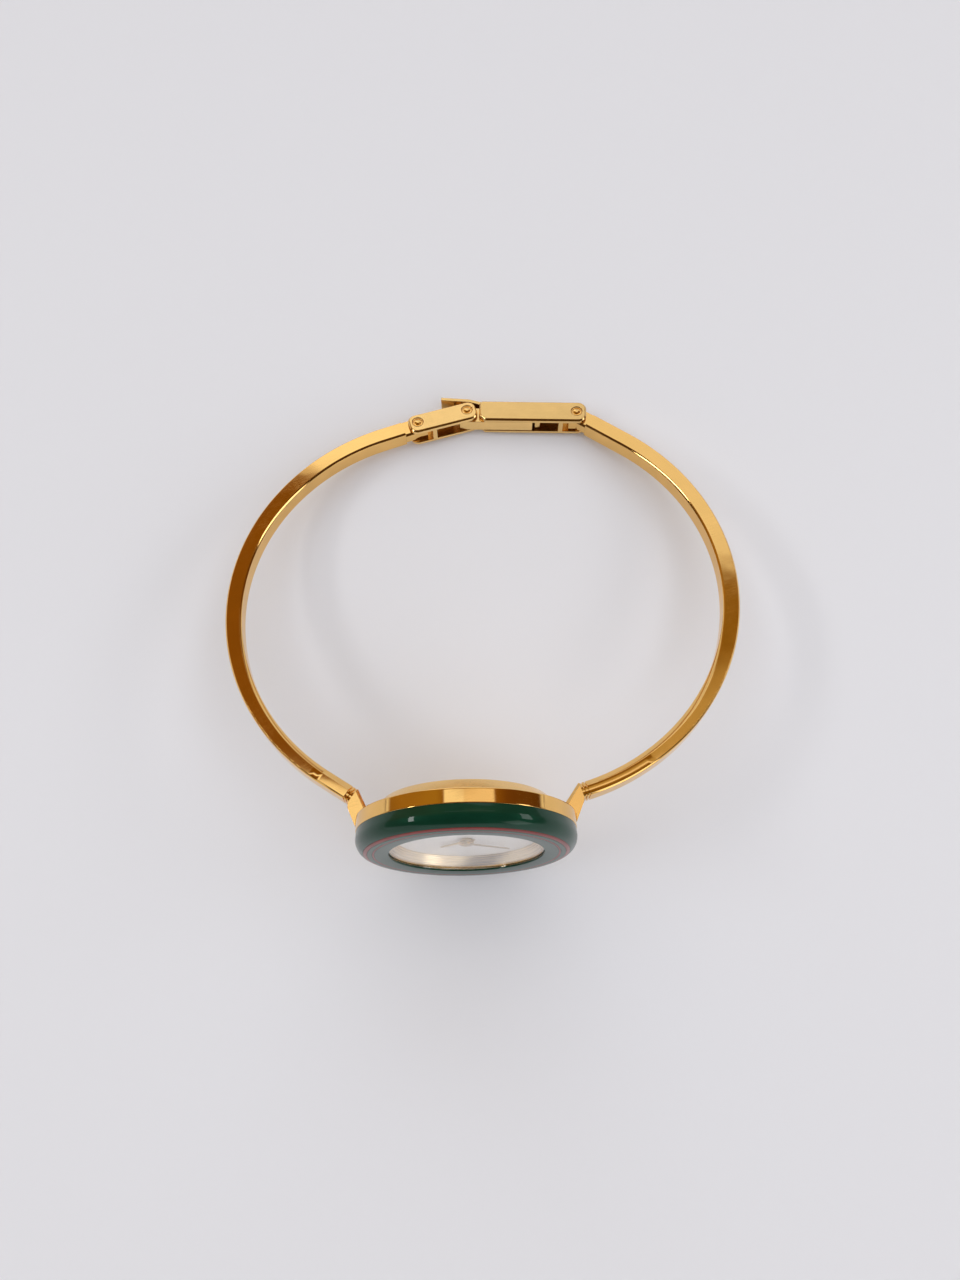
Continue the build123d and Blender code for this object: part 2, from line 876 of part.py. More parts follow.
def make_crown():
    """The fluted crown, hollow where it slides over its tube."""
    with BuildPart() as crown:
        with BuildSketch(Plane.XY.offset(-crown_start)):
            with Locations((0, stem_depth)):
                Circle(crown_radius - flute_depth)
                with PolarLocations(crown_radius - flute_depth, crown_flutes):
                    Rectangle(2 * flute_depth, 2 * flute_depth)
        extrude(amount=crown_cap_height - crown_length)
        # Smooth end cap
        with BuildSketch(Plane.XY.offset(-crown_start)):
            with Locations((0, stem_depth)):
                Circle(crown_radius - flute_depth)
        extrude(amount=-crown_length)
        with BuildSketch(Plane.XY.offset(-crown_start)):
            with Locations((0, stem_depth)):
                Circle(crown_recess_radius)
        extrude(amount=-crown_recess_depth, mode=Mode.SUBTRACT)
    return crown


def make_crown_gasket():
    inner = tube_radius + fit_gap
    outer = crown_recess_radius - fit_gap
    with BuildPart() as crown_gasket:
        with BuildSketch(Plane.XY.offset(-crown_start - gasket_height / 2)):
            with Locations((0, stem_depth)):
                Circle(outer)
                Circle(inner, mode=Mode.SUBTRACT)
        extrude(amount=-gasket_height / 2)
    return crown_gasket


def make_hand(length, front, angle, hub, bore):
    """A slim tapering hand on a round hub."""
    with BuildPart() as hand:
        with BuildSketch(dial_plane(front)):
            Polygon(
                (-hand_tail_length, hand_tip_width / 2),
                (0, hand_width / 2),
                (length, hand_tip_width / 2),
                (length, -hand_tip_width / 2),
                (0, -hand_width / 2),
                (-hand_tail_length, -hand_tip_width / 2),
                align=None,
                rotation=angle,
            )
            Circle(hub)
            Circle(bore, mode=Mode.SUBTRACT)
        extrude(amount=hand_thickness)
    return hand


def make_hour_hand():
    bore = hour_pipe_radius + fit_gap / 2
    hub = hour_pipe_radius + hour_hub_width
    return make_hand(hour_hand_length, hour_hand_front, hour_hand_angle, hub, bore)


def make_minute_hand():
    """The minute hand, with the small cap that closes the cannon pinion."""
    bore = cannon_radius + fit_gap / 2
    hub = cannon_radius + minute_hub_width
    hand = make_hand(minute_hand_length, minute_hand_front, minute_hand_angle, hub, bore)
    with BuildPart() as minute_hand:
        add(hand.part)
        with BuildSketch(dial_plane(minute_hand_front - hub_cap_height)):
            Circle(cannon_radius + hub_cap_overlap)
        extrude(amount=hub_cap_height)
    return minute_hand


def arm_section(thickness, inward):
    """The arm's bevelled section, with x along the inner side's normal and y along z."""
    half = thickness / 2
    half_width = arm_width / 2
    Polygon(
        (inward * half, half_width - arm_inner_bevel),
        (inward * (half - arm_inner_bevel), half_width),
        (-inward * (half - arm_outer_bevel), half_width),
        (-inward * half, half_width - arm_outer_bevel),
        (-inward * half, -half_width + arm_outer_bevel),
        (-inward * (half - arm_outer_bevel), -half_width),
        (inward * (half - arm_inner_bevel), -half_width),
        (inward * half, -half_width + arm_inner_bevel),
        align=None,
    )


def across(point, direction):
    """A plane square to a direction of travel, with x to its left and y up along z."""
    return Plane(origin=point, x_dir=direction.rotate(Axis.Z, 90), z_dir=direction)


def make_arm(route):
    """One stiff arm, slimmer at the lug, with a round eye for its pin."""
    bend_start = across(route.run_end, route.start)
    bend_end = across(route.bend_end, route.end)
    if route is right_route:
        heel_plane, heel_place, heel_way = cover_plane, cover_length, -1
        heel_drop = right_heel_drop
    else:
        heel_plane, heel_place, heel_way = link_plane, 0, 1
        heel_drop = left_heel_drop
    with BuildPart() as arm:
        with BuildSketch(across(route.root, route.start)):
            arm_section(arm_root_thickness, route.inward)
        extrude(amount=(route.run_end - route.root).length)
        with BuildSketch(bend_start):
            arm_section(arm_root_thickness, route.inward)
        with BuildSketch(bend_end):
            arm_section(arm_thickness, route.inward)
        sweep(path=route.bend_line, multisection=True)
        with BuildSketch(bend_end):
            arm_section(arm_thickness, route.inward)
        extrude(amount=(route.pin - route.bend_end).length - shoulder_reach)
        # Stepped down on both sides, so that the clasp's plates lie almost flush with the arm
        with BuildSketch(across(route.pin - route.end * shoulder_reach, route.end)):
            arm_section(arm_thickness, route.inward)
            Rectangle(arm_thickness + overrun, eye_width, mode=Mode.INTERSECT)
        extrude(amount=shoulder_reach)
        with BuildSketch(Plane(origin=route.pin)):
            Circle(arm_thickness / 2)
        extrude(amount=eye_width / 2, both=True)
        # Square heel on the wrist side of the eye, which faces the clasp's stop bar
        with BuildSketch(heel_plane):
            Polygon(
                (heel_place, 0),
                (heel_place + heel_way * heel_reach, -heel_rise),
                (heel_place + heel_way * heel_reach, -heel_drop),
                (heel_place, -heel_drop),
                align=None,
            )
        extrude(amount=eye_width / 2, both=True)
        # Twin grooves where the arm is soldered to its lug
        for count in (1, 2):
            groove_start = route.root + route.start * (count * groove_pitch - groove_width)
            with BuildSketch(across(groove_start, route.start)):
                Rectangle(arm_width + overrun, arm_width + overrun)
                Rectangle(
                    arm_root_thickness - 2 * groove_depth,
                    arm_width - 2 * groove_depth,
                    mode=Mode.SUBTRACT,
                )
            extrude(amount=groove_width, mode=Mode.SUBTRACT)
        with BuildSketch(Plane(origin=route.pin)):
            Circle(pin_hole_radius)
        extrude(amount=arm_width, both=True, mode=Mode.SUBTRACT)
    return arm


def is_long_edge(edge, root_in, side):
    """True for the two edges that run down the lug's inner side."""
    ends = [edge.position_at(0), edge.position_at(1)]
    foot = Vector(side * lug_inner_radius, lug_inner_depth)
    near_root = min(Vector(p.X - root_in.X, p.Y - root_in.Y).length for p in ends) < fit_gap
    near_foot = min(Vector(p.X - foot.X, p.Y - foot.Y).length for p in ends) < fit_gap
    return near_root and near_foot


def make_lug(route):
    """The bent end piece that stands on the case's back edge and carries the arm."""
    side = route.inward
    root_in = route.root + route.inner_normal * (arm_root_thickness / 2)
    root_out = route.root - route.inner_normal * (arm_root_thickness / 2)
    with BuildPart() as lug:
        with BuildSketch() as outline:
            with BuildLine():
                Polyline(
                    root_in,
                    root_out,
                    (side * lug_knee_radius, lug_knee_depth),
                    (side * case_radius, lug_foot_depth),
                    (side * lug_inner_radius, lug_foot_depth),
                    (side * lug_inner_radius, lug_inner_depth),
                    close=True,
                )
            make_face()
            knee = outline.vertices().sort_by_distance((side * lug_knee_radius, lug_knee_depth))[0]
            fillet(knee, lug_knee_round)
        extrude(amount=arm_width / 2, both=True)
        inner_edges = lug.edges().sort_by_distance(root_in)
        inner_edges = [edge for edge in inner_edges if is_long_edge(edge, root_in, side)]
        chamfer(inner_edges, lug_bevel)
        # Seat cut to the case's edge
        with BuildSketch(dial_plane(0)):
            Circle(case_radius + fit_gap)
        extrude(amount=case_depth + fit_gap, mode=Mode.SUBTRACT)
    return lug


def pin_seats(plane, places):
    """Cutters for pin holes and their shallow counterbores in both side plates."""
    with BuildPart() as seats:
        with BuildSketch(plane):
            with Locations(*places):
                Circle(pin_radius + fit_gap / 2)
        extrude(amount=cover_half_width, both=True)
        for side in (-1, 1):
            with BuildSketch(plane.offset(side * (cover_half_width - pin_head_depth))):
                with Locations(*places):
                    Circle(pin_head_radius + pin_ring_gap)
            extrude(amount=side * overrun)
    return seats.part


def bevel_plates(body):
    """Small bevels round the outer faces of a channel's two side plates."""
    top = body.faces().sort_by(Axis.Z)[-1]
    bottom = body.faces().sort_by(Axis.Z)[0]
    chamfer(top.outer_wire().edges() + bottom.outer_wire().edges(), edge_bevel)


def make_link():
    """The short link: two plates over the left arm's eye and the leaf's knuckle."""
    web_end = link_length - link_web_relief
    seats = pin_seats(link_plane, [(0, 0), (link_length, 0)])
    with BuildPart() as clasp_link:
        with BuildSketch(link_plane):
            with Locations((link_length / 2, (link_outer_half - link_inner_half) / 2)):
                RectangleRounded(
                    link_length + 2 * link_reach, link_outer_half + link_inner_half, link_corner
                )
        extrude(amount=cover_half_width, both=True)
        bevel_plates(clasp_link)
        # The channel, all but its web and its stop bar
        with BuildSketch(link_plane):
            with Locations((link_length / 2, 0)):
                Rectangle(link_length + 2 * link_reach + overrun, 2 * cover_half + overrun)
            with Locations(((web_relief + web_end) / 2, link_outer_half)):
                Rectangle(web_end - web_relief, 2 * clasp_web, mode=Mode.SUBTRACT)
            with Locations((link_bar_start + bar_width / 2, -link_inner_half)):
                Rectangle(bar_width, 2 * bar_depth, mode=Mode.SUBTRACT)
        extrude(amount=channel_half_width, both=True, mode=Mode.SUBTRACT)
        add(seats, mode=Mode.SUBTRACT)
    return clasp_link


def make_leaf():
    """The leaf that folds into the cover: a knuckle, a bar and a plain catch end."""
    leaf_end = cover_length - claw_reach - claw_gap
    with BuildPart() as clasp_leaf:
        with BuildSketch(cover_plane):
            with BuildLine():
                Polyline(
                    (0, leaf_outer),
                    (leaf_end, leaf_outer),
                    (leaf_end, -leaf_inner),
                    (-knuckle_heel, -leaf_inner),
                    (-knuckle_radius, 0),
                    close=True,
                )
            make_face()
            Circle(knuckle_radius)
            Circle(pin_hole_radius, mode=Mode.SUBTRACT)
        extrude(amount=eye_width / 2, both=True)
        # Lightened underneath, so that the leaf is a channel of its own
        with BuildSketch(cover_plane):
            with Locations((knuckle_radius + leaf_wall, leaf_outer - leaf_wall)):
                Rectangle(
                    leaf_end - knuckle_radius - 2 * leaf_wall,
                    leaf_outer + leaf_inner,
                    align=(Align.MIN, Align.MIN),
                )
        extrude(amount=eye_width / 2 - leaf_wall, both=True, mode=Mode.SUBTRACT)
    return clasp_leaf


def make_cover():
    """The cover: a channel with a web, a stop bar, a claw and a lifting tab."""
    left_end = link_reach + cover_end_gap
    right_end = cover_length + cover_reach
    web_right = cover_length - web_relief
    bar_right = cover_length - bar_start
    web_inner = cover_half - clasp_web
    claw_left = cover_length - claw_reach
    seats = pin_seats(cover_plane, [(cover_length, 0)])
    with BuildPart() as clasp_cover:
        with BuildSketch(cover_plane):
            with BuildLine():
                outer_corner = (right_end - cover_corner, cover_half)
                round_side = (right_end, cover_half - cover_corner)
                inner_side = (right_end, -cover_half + cover_corner)
                inner_corner = (right_end - cover_corner, -cover_half)
                Polyline(
                    inner_corner,
                    (left_end + cover_end_bevel, -cover_half),
                    (left_end, -cover_half + cover_end_bevel),
                    (left_end, cover_half - cover_end_bevel / 2),
                    (left_end + cover_end_bevel / 2, cover_half),
                    outer_corner,
                )
                TangentArc(outer_corner, round_side, tangent=(1, 0))
                Line(round_side, inner_side)
                TangentArc(inner_side, inner_corner, tangent=(0, -1))
            make_face()
        extrude(amount=cover_half_width, both=True)
        bevel_plates(clasp_cover)
        # The channel, all but its web and its stop bar
        with BuildSketch(cover_plane):
            with Locations(((left_end + right_end) / 2, 0)):
                Rectangle(right_end - left_end + overrun, 2 * cover_half + overrun)
            with Locations(((left_end - overrun + web_right) / 2, cover_half)):
                Rectangle(web_right - left_end + overrun, 2 * clasp_web, mode=Mode.SUBTRACT)
            with Locations((bar_right - bar_width / 2, -cover_half)):
                Rectangle(bar_width, 2 * bar_depth, mode=Mode.SUBTRACT)
        extrude(amount=channel_half_width, both=True, mode=Mode.SUBTRACT)
        # The claw, whose nose is concentric with the cover's own pin
        with BuildSketch(cover_plane):
            with BuildLine():
                nose_drop = claw_depth
                nose_back = (claw_reach**2 - nose_drop**2) ** 0.5
                nose_top = (claw_left, 0)
                nose_tip = (cover_length - nose_back, -nose_drop)
                nose_mid_drop = nose_drop / 2
                nose_mid = (claw_reach**2 - nose_mid_drop**2) ** 0.5
                ThreePointArc(nose_top, (cover_length - nose_mid, -nose_mid_drop), nose_tip)
                Polyline(
                    nose_tip,
                    (cover_length - nose_back + claw_tip_width, -nose_drop),
                    (cover_length - claw_root + claw_tip_width, web_inner),
                    (cover_length - claw_root - claw_tip_width, web_inner),
                    nose_top,
                )
            make_face()
        extrude(amount=claw_width / 2, both=True)
        # The lifting tab, which runs on from the web and stands off over the link
        with BuildSketch(cover_plane):
            with BuildLine():
                Polyline(
                    (left_end + cover_end_bevel, web_inner),
                    (left_end, web_inner),
                    (left_end - tab_step, web_inner + tab_lift),
                    (left_end - tab_length, web_inner + tab_end_lift),
                    (left_end - tab_length, web_inner + tab_end_lift + tab_thickness),
                    (left_end - tab_step, web_inner + tab_lift + tab_thickness),
                    (left_end, cover_half),
                    (left_end + cover_end_bevel, cover_half),
                    close=True,
                )
            make_face()
        extrude(amount=tab_width / 2, both=True)
        add(seats, mode=Mode.SUBTRACT)
    return clasp_cover


def make_pin(plane, place):
    """A rivet pin with a turned head at each end, flush in its side plates."""
    head_start = cover_half_width - pin_head_depth
    with BuildPart() as pin:
        with BuildSketch(plane):
            with Locations(place):
                Circle(pin_radius)
        extrude(amount=cover_half_width - pin_dome, both=True)
        for side in (-1, 1):
            with BuildSketch(plane.offset(side * (head_start + fit_gap))):
                with Locations(place):
                    Circle(pin_head_radius)
            extrude(amount=side * (pin_head_depth - pin_dome - fit_gap))
            with BuildSketch(plane.offset(side * (cover_half_width - pin_dome))):
                with Locations(place):
                    Circle(pin_radius)
            extrude(amount=side * pin_dome, taper=pin_dome_taper)
    return pin


def resting_tilt():
    """How far the flat watch tips to lie on its crown and clasp, in degrees."""
    clasp_corner = cover_plane.from_local_coords((link_reach + cover_end_gap, cover_half, 0))
    drop = crown_tip - cover_half_width
    return degrees(atan2(drop, clasp_corner.Y - stem_depth - crown_radius))


def resting_offset(tilted):
    """The move that centres the tilted pieces and stands them on the floor."""
    boxes = [piece.bounding_box() for piece in tilted]
    middle_x = (min(box.min.X for box in boxes) + max(box.max.X for box in boxes)) / 2
    middle_y = (min(box.min.Y for box in boxes) + max(box.max.Y for box in boxes)) / 2
    return Vector(-middle_x, -middle_y, -min(box.min.Z for box in boxes))


def build_watch():
    """Every piece of the watch in the flat frame, by name."""
    bore = case_bore_radius - fit_gap
    back = dial_back
    watch = {
        "case_middle": make_case_middle(),
        "case_back": make_case_back(),
        "case_back_gasket": revolve_band(
            case_bore_radius + fit_gap / 2,
            case_bore_radius + gasket_width,
            case_depth - gasket_height,
            case_depth,
        ),
        "bezel_ring": make_ring(),
        "bezel_stripe_wide": make_stripe(wide_stripe_radius, wide_stripe_width),
        "bezel_stripe_narrow": make_stripe(narrow_stripe_radius, narrow_stripe_width),
        "crystal": revolve_band(0, crystal_radius, neck_front, crystal_seat_depth - fit_gap),
        "crystal_gasket": revolve_band(
            crystal_radius + fit_gap / 2, bore, neck_front, crystal_seat_depth - fit_gap
        ),
        "dial_flange": make_flange(),
        "dial": revolve_band(dial_hole_radius, bore, dial_front, back),
        "hour_hand": make_hour_hand(),
        "minute_hand": make_minute_hand(),
        "hour_wheel": make_hour_wheel(),
        "minute_wheel": make_minute_wheel(),
        "cannon_pinion": make_cannon_pinion(),
        "centre_wheel": make_centre_wheel(),
        "third_wheel": make_train_wheel(
            third_place, third_wheel_teeth, third_level, centre_level, pinion_thickness
        ),
        "intermediate_wheel": make_train_wheel(
            intermediate_place,
            intermediate_wheel_teeth,
            intermediate_level,
            third_level,
            pinion_thickness,
        ),
        "rotor": make_rotor(),
        "stator": make_stator(),
        "coil_core": make_coil_core(),
        "coil_winding": make_coil(),
        "main_plate": make_main_plate(),
        "train_bridge": make_train_bridge(),
        "circuit_board": make_circuit_board(),
        "quartz_can": make_quartz_can(),
        "battery": make_battery(),
        "battery_strap": make_battery_strap(),
        "movement_holder": make_holder(),
        "stem": make_stem(),
        "clutch_pinion": make_clutch(),
        "setting_lever": make_setting_lever(),
        "crown_tube": make_crown_tube(),
        "crown": make_crown(),
        "crown_gasket": make_crown_gasket(),
        "lug_right": make_lug(right_route),
        "lug_left": make_lug(left_route),
        "arm_right": make_arm(right_route),
        "arm_left": make_arm(left_route),
        "clasp_link": make_link(),
        "clasp_leaf": make_leaf(),
        "clasp_cover": make_cover(),
        "pin_arm_link": make_pin(link_plane, (0, 0)),
        "pin_link_leaf": make_pin(link_plane, (link_length, 0)),
        "pin_cover": make_pin(cover_plane, (cover_length, 0)),
    }
    for name, piece in watch.items():
        piece.part.label = name
    return watch


def main():
    os.makedirs("parts", exist_ok=True)
    watch = build_watch()
    tilted = [piece.part.rotate(Axis.X, -resting_tilt()) for piece in watch.values()]
    offset = resting_offset(tilted)
    for name, piece in zip(watch, tilted):
        placed = piece.translate(offset)
        placed.label = name
        export_step(placed, f"parts/{name}.step")


if __name__ == "__main__":
    main()
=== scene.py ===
"""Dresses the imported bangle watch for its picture: turned head, bent arms, fold-over clasp,
finishes and a plain studio stage. Everything is in metres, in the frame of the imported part."""

import json
import math

import bmesh
import bpy
from bpy.props import FloatProperty, FloatVectorProperty, PointerProperty
from mathutils import Matrix, Vector


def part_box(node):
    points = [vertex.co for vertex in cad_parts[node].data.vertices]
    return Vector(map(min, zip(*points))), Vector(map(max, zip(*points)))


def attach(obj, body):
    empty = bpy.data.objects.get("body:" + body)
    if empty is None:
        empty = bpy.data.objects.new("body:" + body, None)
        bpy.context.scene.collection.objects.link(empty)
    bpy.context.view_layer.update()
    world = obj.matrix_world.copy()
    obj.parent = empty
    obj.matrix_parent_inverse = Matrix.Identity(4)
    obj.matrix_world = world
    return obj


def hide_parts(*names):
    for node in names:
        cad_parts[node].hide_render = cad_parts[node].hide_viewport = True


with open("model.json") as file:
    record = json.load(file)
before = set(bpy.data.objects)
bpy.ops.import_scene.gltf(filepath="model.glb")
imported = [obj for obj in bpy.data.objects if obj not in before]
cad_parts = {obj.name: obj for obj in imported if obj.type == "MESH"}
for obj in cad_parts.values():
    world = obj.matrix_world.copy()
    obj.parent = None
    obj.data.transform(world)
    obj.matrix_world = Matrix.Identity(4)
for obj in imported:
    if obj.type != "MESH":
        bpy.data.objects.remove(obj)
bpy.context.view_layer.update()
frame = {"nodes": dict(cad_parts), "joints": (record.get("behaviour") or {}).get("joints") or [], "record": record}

bl_info = {
    "name": "Bangle watch",
    "version": (1, 0, 0),
    "blender": (4, 5, 0),
    "location": "3D View > Sidebar > Bangle watch",
    "description": "Builds a small bangle watch with its finishes and a studio stage",
    "category": "Object",
}

MM = 0.001
JOINT = {joint["name"]: joint for joint in frame["joints"]}
SLOT_OF = {row["node"]: row["material_slot"] for row in frame["record"]["subparts"]}


# The flat frame that the watch is drawn in: x toward twelve o'clock, y from the dial to the
# clasp, z up along the bangle's axis, with its origin at the middle of the case's front edge
def flat_frame():
    y = Vector(JOINT["minute_hand_turn"]["axis"])
    z = -Vector(JOINT["link_hinge"]["axis"])
    x = y.cross(z)
    basis = Matrix((x, y, z)).transposed().to_4x4()
    return Matrix.Translation(JOINT["minute_hand_turn"]["pos_m"]) @ basis


FLAT = flat_frame()


def hinge_place(joint):
    """A hinge's place in the flat frame, in millimetres, at the middle of the bangle's width."""
    place = FLAT.inverted() @ Vector(JOINT[joint]["pos_m"])
    return Vector((place.x, place.y, 0)) / MM


# Colours

def linear(code):
    """Turns an sRGB hex colour into the linear colour that shaders read."""
    parts = [int(code[i : i + 2], 16) / 255 for i in (1, 3, 5)]
    parts = [c / 12.92 if c <= 0.04045 else ((c + 0.055) / 1.055) ** 2.4 for c in parts]
    return (*parts, 1.0)


def colour_property(name, description, code):
    return FloatVectorProperty(
        name=name, description=description, default=linear(code), subtype="COLOR", size=4,
        min=0, max=1,
    )


def length_property(name, description, millimetres):
    return FloatProperty(
        name=name, description=description, default=millimetres * MM, subtype="DISTANCE",
        unit="LENGTH", min=0,
    )


def glow_property(name, description, glow):
    return FloatProperty(name=name, description=description, default=glow, min=0)


# Nodes

def set_inputs(tree, node, inputs):
    """Sets a node's inputs by name or number, each to a value, to a socket, or to another node,
    which gives its first live output."""
    for key, value in inputs.items():
        if isinstance(value, bpy.types.Node):
            value = next(socket for socket in value.outputs if socket.enabled)
        if isinstance(value, bpy.types.NodeSocket):
            tree.links.new(value, node.inputs[key])
        else:
            node.inputs[key].default_value = value


def add_node(tree, kind, inputs=None, **settings):
    """Adds a node with its settings and inputs."""
    node = tree.nodes.new(kind)
    for name, value in settings.items():
        setattr(node, name, value)
    set_inputs(tree, node, inputs or {})
    return node


def work_out(tree, value, *steps):
    """A sum worked from left to right. Each step is an operation and its second value, which is
    0 where the operation takes none."""
    for operation, second in zip(steps[::2], steps[1::2]):
        value = add_node(tree, "ShaderNodeMath", {0: value, 1: second}, operation=operation)
    return value


def new_tree(name, inputs):
    """A geometry tree with named inputs. Returns the tree and the sockets of those inputs."""
    tree = bpy.data.node_groups.new(name, "GeometryNodeTree")
    for label, kind in {"Geometry": "Geometry", **inputs}.items():
        tree.interface.new_socket(label, in_out="INPUT", socket_type="NodeSocket" + kind)
    tree.interface.new_socket("Geometry", in_out="OUTPUT", socket_type="NodeSocketGeometry")
    return tree, add_node(tree, "NodeGroupInput").outputs


def read_at(tree, line, index, *fields):
    """Reads a line's Position or Tangent, or values kept on it by name, at one of its points."""
    found = []
    for field in fields:
        if field in ("Position", "Tangent"):
            kind, source = "FLOAT_VECTOR", add_node(tree, "GeometryNodeInput" + field)
        else:
            kind, name = "FLOAT", {"Name": field}
            source = add_node(tree, "GeometryNodeInputNamedAttribute", name, data_type=kind)
        given = {"Geometry": line, "Value": source, "Index": index}
        found.append(
            add_node(tree, "GeometryNodeSampleIndex", given, data_type=kind, domain="POINT")
        )
    return found


def wrapping_grid(tree, outline, columns):
    """A grid to wrap round a closed outline. Returns it with the column and the outline's point
    that each of its vertices belongs to."""
    points = add_node(
        tree, "GeometryNodeAttributeDomainSize", {"Geometry": outline}, component="CURVE"
    )
    rows = work_out(tree, points, "ADD", 1)
    given = {"Size X": 1, "Size Y": 1, "Vertices X": rows, "Vertices Y": columns}
    grid = add_node(tree, "GeometryNodeMeshGrid", given)
    index = add_node(tree, "GeometryNodeInputIndex")
    column = work_out(tree, index, "MODULO", columns)
    row = work_out(tree, index, "ADD", 0.5, "DIVIDE", columns, "FLOOR", 0)
    return grid, column, work_out(tree, row, "MODULO", points)


def close_tree(tree, grid, place, material):
    """Moves a grid's vertices to their place, merges seams and poles, and ends the tree."""
    placed = add_node(tree, "GeometryNodeSetPosition", {"Geometry": grid, "Position": place})
    merged = add_node(
        tree, "GeometryNodeMergeByDistance", {"Geometry": placed, "Distance": SEAM_GAP}
    )
    smooth = add_node(tree, "GeometryNodeSetShadeSmooth", {"Geometry": merged})
    real = add_node(tree, "GeometryNodeRealizeInstances", {"Geometry": smooth})
    given = {"Geometry": real, "Material": material}
    painted = add_node(tree, "GeometryNodeSetMaterial", given)
    add_node(tree, "NodeGroupOutput", {"Geometry": painted})


def build_turned_tree():
    """A closed profile, x as radius and y as depth, rounded at its corners and turned about
    the y axis. Points marked as fluted sink into the given number of flutes."""
    tree, given = new_tree("turned_part", {
        "Steps": "Int", "Corner Steps": "Int", "Flutes": "Int", "Flute Depth": "Float",
        "Material": "Material",
    })
    outline = add_node(tree, "GeometryNodeMeshToCurve", {"Mesh": given["Geometry"]})
    corner = add_node(
        tree, "GeometryNodeInputNamedAttribute", {"Name": "corner_radius"}, data_type="FLOAT"
    )
    rounding = {
        "Curve": outline, "Count": given["Corner Steps"], "Radius": corner, "Limit Radius": True,
    }
    rounded = add_node(tree, "GeometryNodeFilletCurve", rounding, mode="POLY")
    columns = work_out(tree, given["Steps"], "ADD", 1)
    grid, column, point = wrapping_grid(tree, rounded, columns)
    place, fluted = read_at(tree, rounded, point, "Position", "fluted")
    radius, depth, _ = add_node(tree, "ShaderNodeSeparateXYZ", {0: place}).outputs
    turn = work_out(tree, column, "MULTIPLY", math.tau, "DIVIDE", given["Steps"])
    wave = work_out(tree, turn, "MULTIPLY", given["Flutes"], "COSINE", 0, "ADD", 1)
    sunk = work_out(
        tree, wave, "MULTIPLY", 0.5, "POWER", 2, "MULTIPLY", given["Flute Depth"],
        "MULTIPLY", fluted,
    )
    radius = work_out(tree, radius, "SUBTRACT", sunk)
    across = work_out(tree, turn, "COSINE", 0, "MULTIPLY", radius)
    up = work_out(tree, turn, "SINE", 0, "MULTIPLY", radius)
    place = add_node(tree, "ShaderNodeCombineXYZ", {0: across, 1: depth, 2: up})
    close_tree(tree, grid, place, given["Material"])
    return tree


def build_bar_tree():
    """A bevelled bar that follows a path in the xy plane, with its wider bevels on one side.
    The path's points hold the bar's thickness, how deep any groove is, 0 where the bar closes
    and 1 elsewhere, and how far the inner bevels widen toward their size at the root."""
    tree, given = new_tree("bent_bar", {
        "Width": "Float", "Thickness": "Float", "Root Bevel": "Float", "Inner Bevel": "Float",
        "Outer Bevel": "Float", "Edge Radius": "Float", "Inner Side": "Float",
        "Material": "Material",
    })
    path = add_node(tree, "GeometryNodeMeshToCurve", {"Mesh": given["Geometry"]})
    reach = {"Width": given["Thickness"], "Height": given["Width"]}
    plain = add_node(tree, "GeometryNodeCurvePrimitiveQuadrilateral", reach, mode="RECTANGLE")
    position = add_node(tree, "GeometryNodeInputPosition")
    side = add_node(tree, "ShaderNodeSeparateXYZ", {0: position})
    inner = work_out(tree, side, "GREATER_THAN", 0)
    sections = []
    for size in ("Inner Bevel", "Root Bevel"):
        sizes = {0: inner, 2: given["Outer Bevel"], 3: given[size]}
        bevel = add_node(tree, "ShaderNodeMix", sizes, data_type="FLOAT")
        cut = {"Curve": plain, "Count": 1, "Radius": bevel}
        bevelled = add_node(tree, "GeometryNodeFilletCurve", cut, mode="POLY")
        rounding = {
            "Curve": bevelled, "Count": 2, "Radius": given["Edge Radius"], "Limit Radius": True,
        }
        sections.append(add_node(tree, "GeometryNodeFilletCurve", rounding, mode="POLY"))
    length = add_node(
        tree, "GeometryNodeAttributeDomainSize", {"Geometry": path}, component="CURVE"
    )
    grid, column, point = wrapping_grid(tree, sections[0], length)
    fine, wide = (read_at(tree, section, point, "Position")[0] for section in sections)
    place, tangent, thickness, groove, opened, widening = read_at(
        tree, path, column, "Position", "Tangent", "thickness", "groove", "opened", "widening"
    )
    corner = add_node(tree, "ShaderNodeMix", {0: widening, 4: fine, 5: wide}, data_type="VECTOR")
    across, up, _ = add_node(tree, "ShaderNodeSeparateXYZ", {0: corner}).outputs
    spare = work_out(
        tree, thickness, "SUBTRACT", given["Thickness"], "MULTIPLY", 0.5, "SUBTRACT", groove
    )
    spare = work_out(tree, across, "SIGN", 0, "MULTIPLY", spare)
    out = work_out(
        tree, across, "ADD", spare, "MULTIPLY", opened, "MULTIPLY", given["Inner Side"]
    )
    drop = work_out(tree, up, "SIGN", 0, "MULTIPLY", groove)
    up = work_out(tree, up, "SUBTRACT", drop, "MULTIPLY", opened)
    normal = add_node(
        tree, "ShaderNodeVectorMath", {0: (0, 0, 1), 1: tangent}, operation="CROSS_PRODUCT"
    )
    shift = add_node(tree, "ShaderNodeVectorMath", {0: normal, "Scale": out}, operation="SCALE")
    lift = add_node(tree, "ShaderNodeCombineXYZ", {2: up})
    for step in (shift, lift):
        place = add_node(tree, "ShaderNodeVectorMath", {0: place, 1: step}, operation="ADD")
    close_tree(tree, grid, place, given["Material"])
    return tree


# Making pieces

# Lengths in metres below which points and faces are joined, and angles that count as a crease,
# as one flat face, and as an edge to be rounded
SLIVER = 1e-7
SEAM_GAP = 2e-7
WELD_GAP = 2e-6
CREASE_ANGLE = math.radians(40)
FACET_ANGLE = math.radians(1)
ROUNDED_ANGLE = math.radians(28)
CUT_BACK = 0.01
CORNER_STEPS = 4


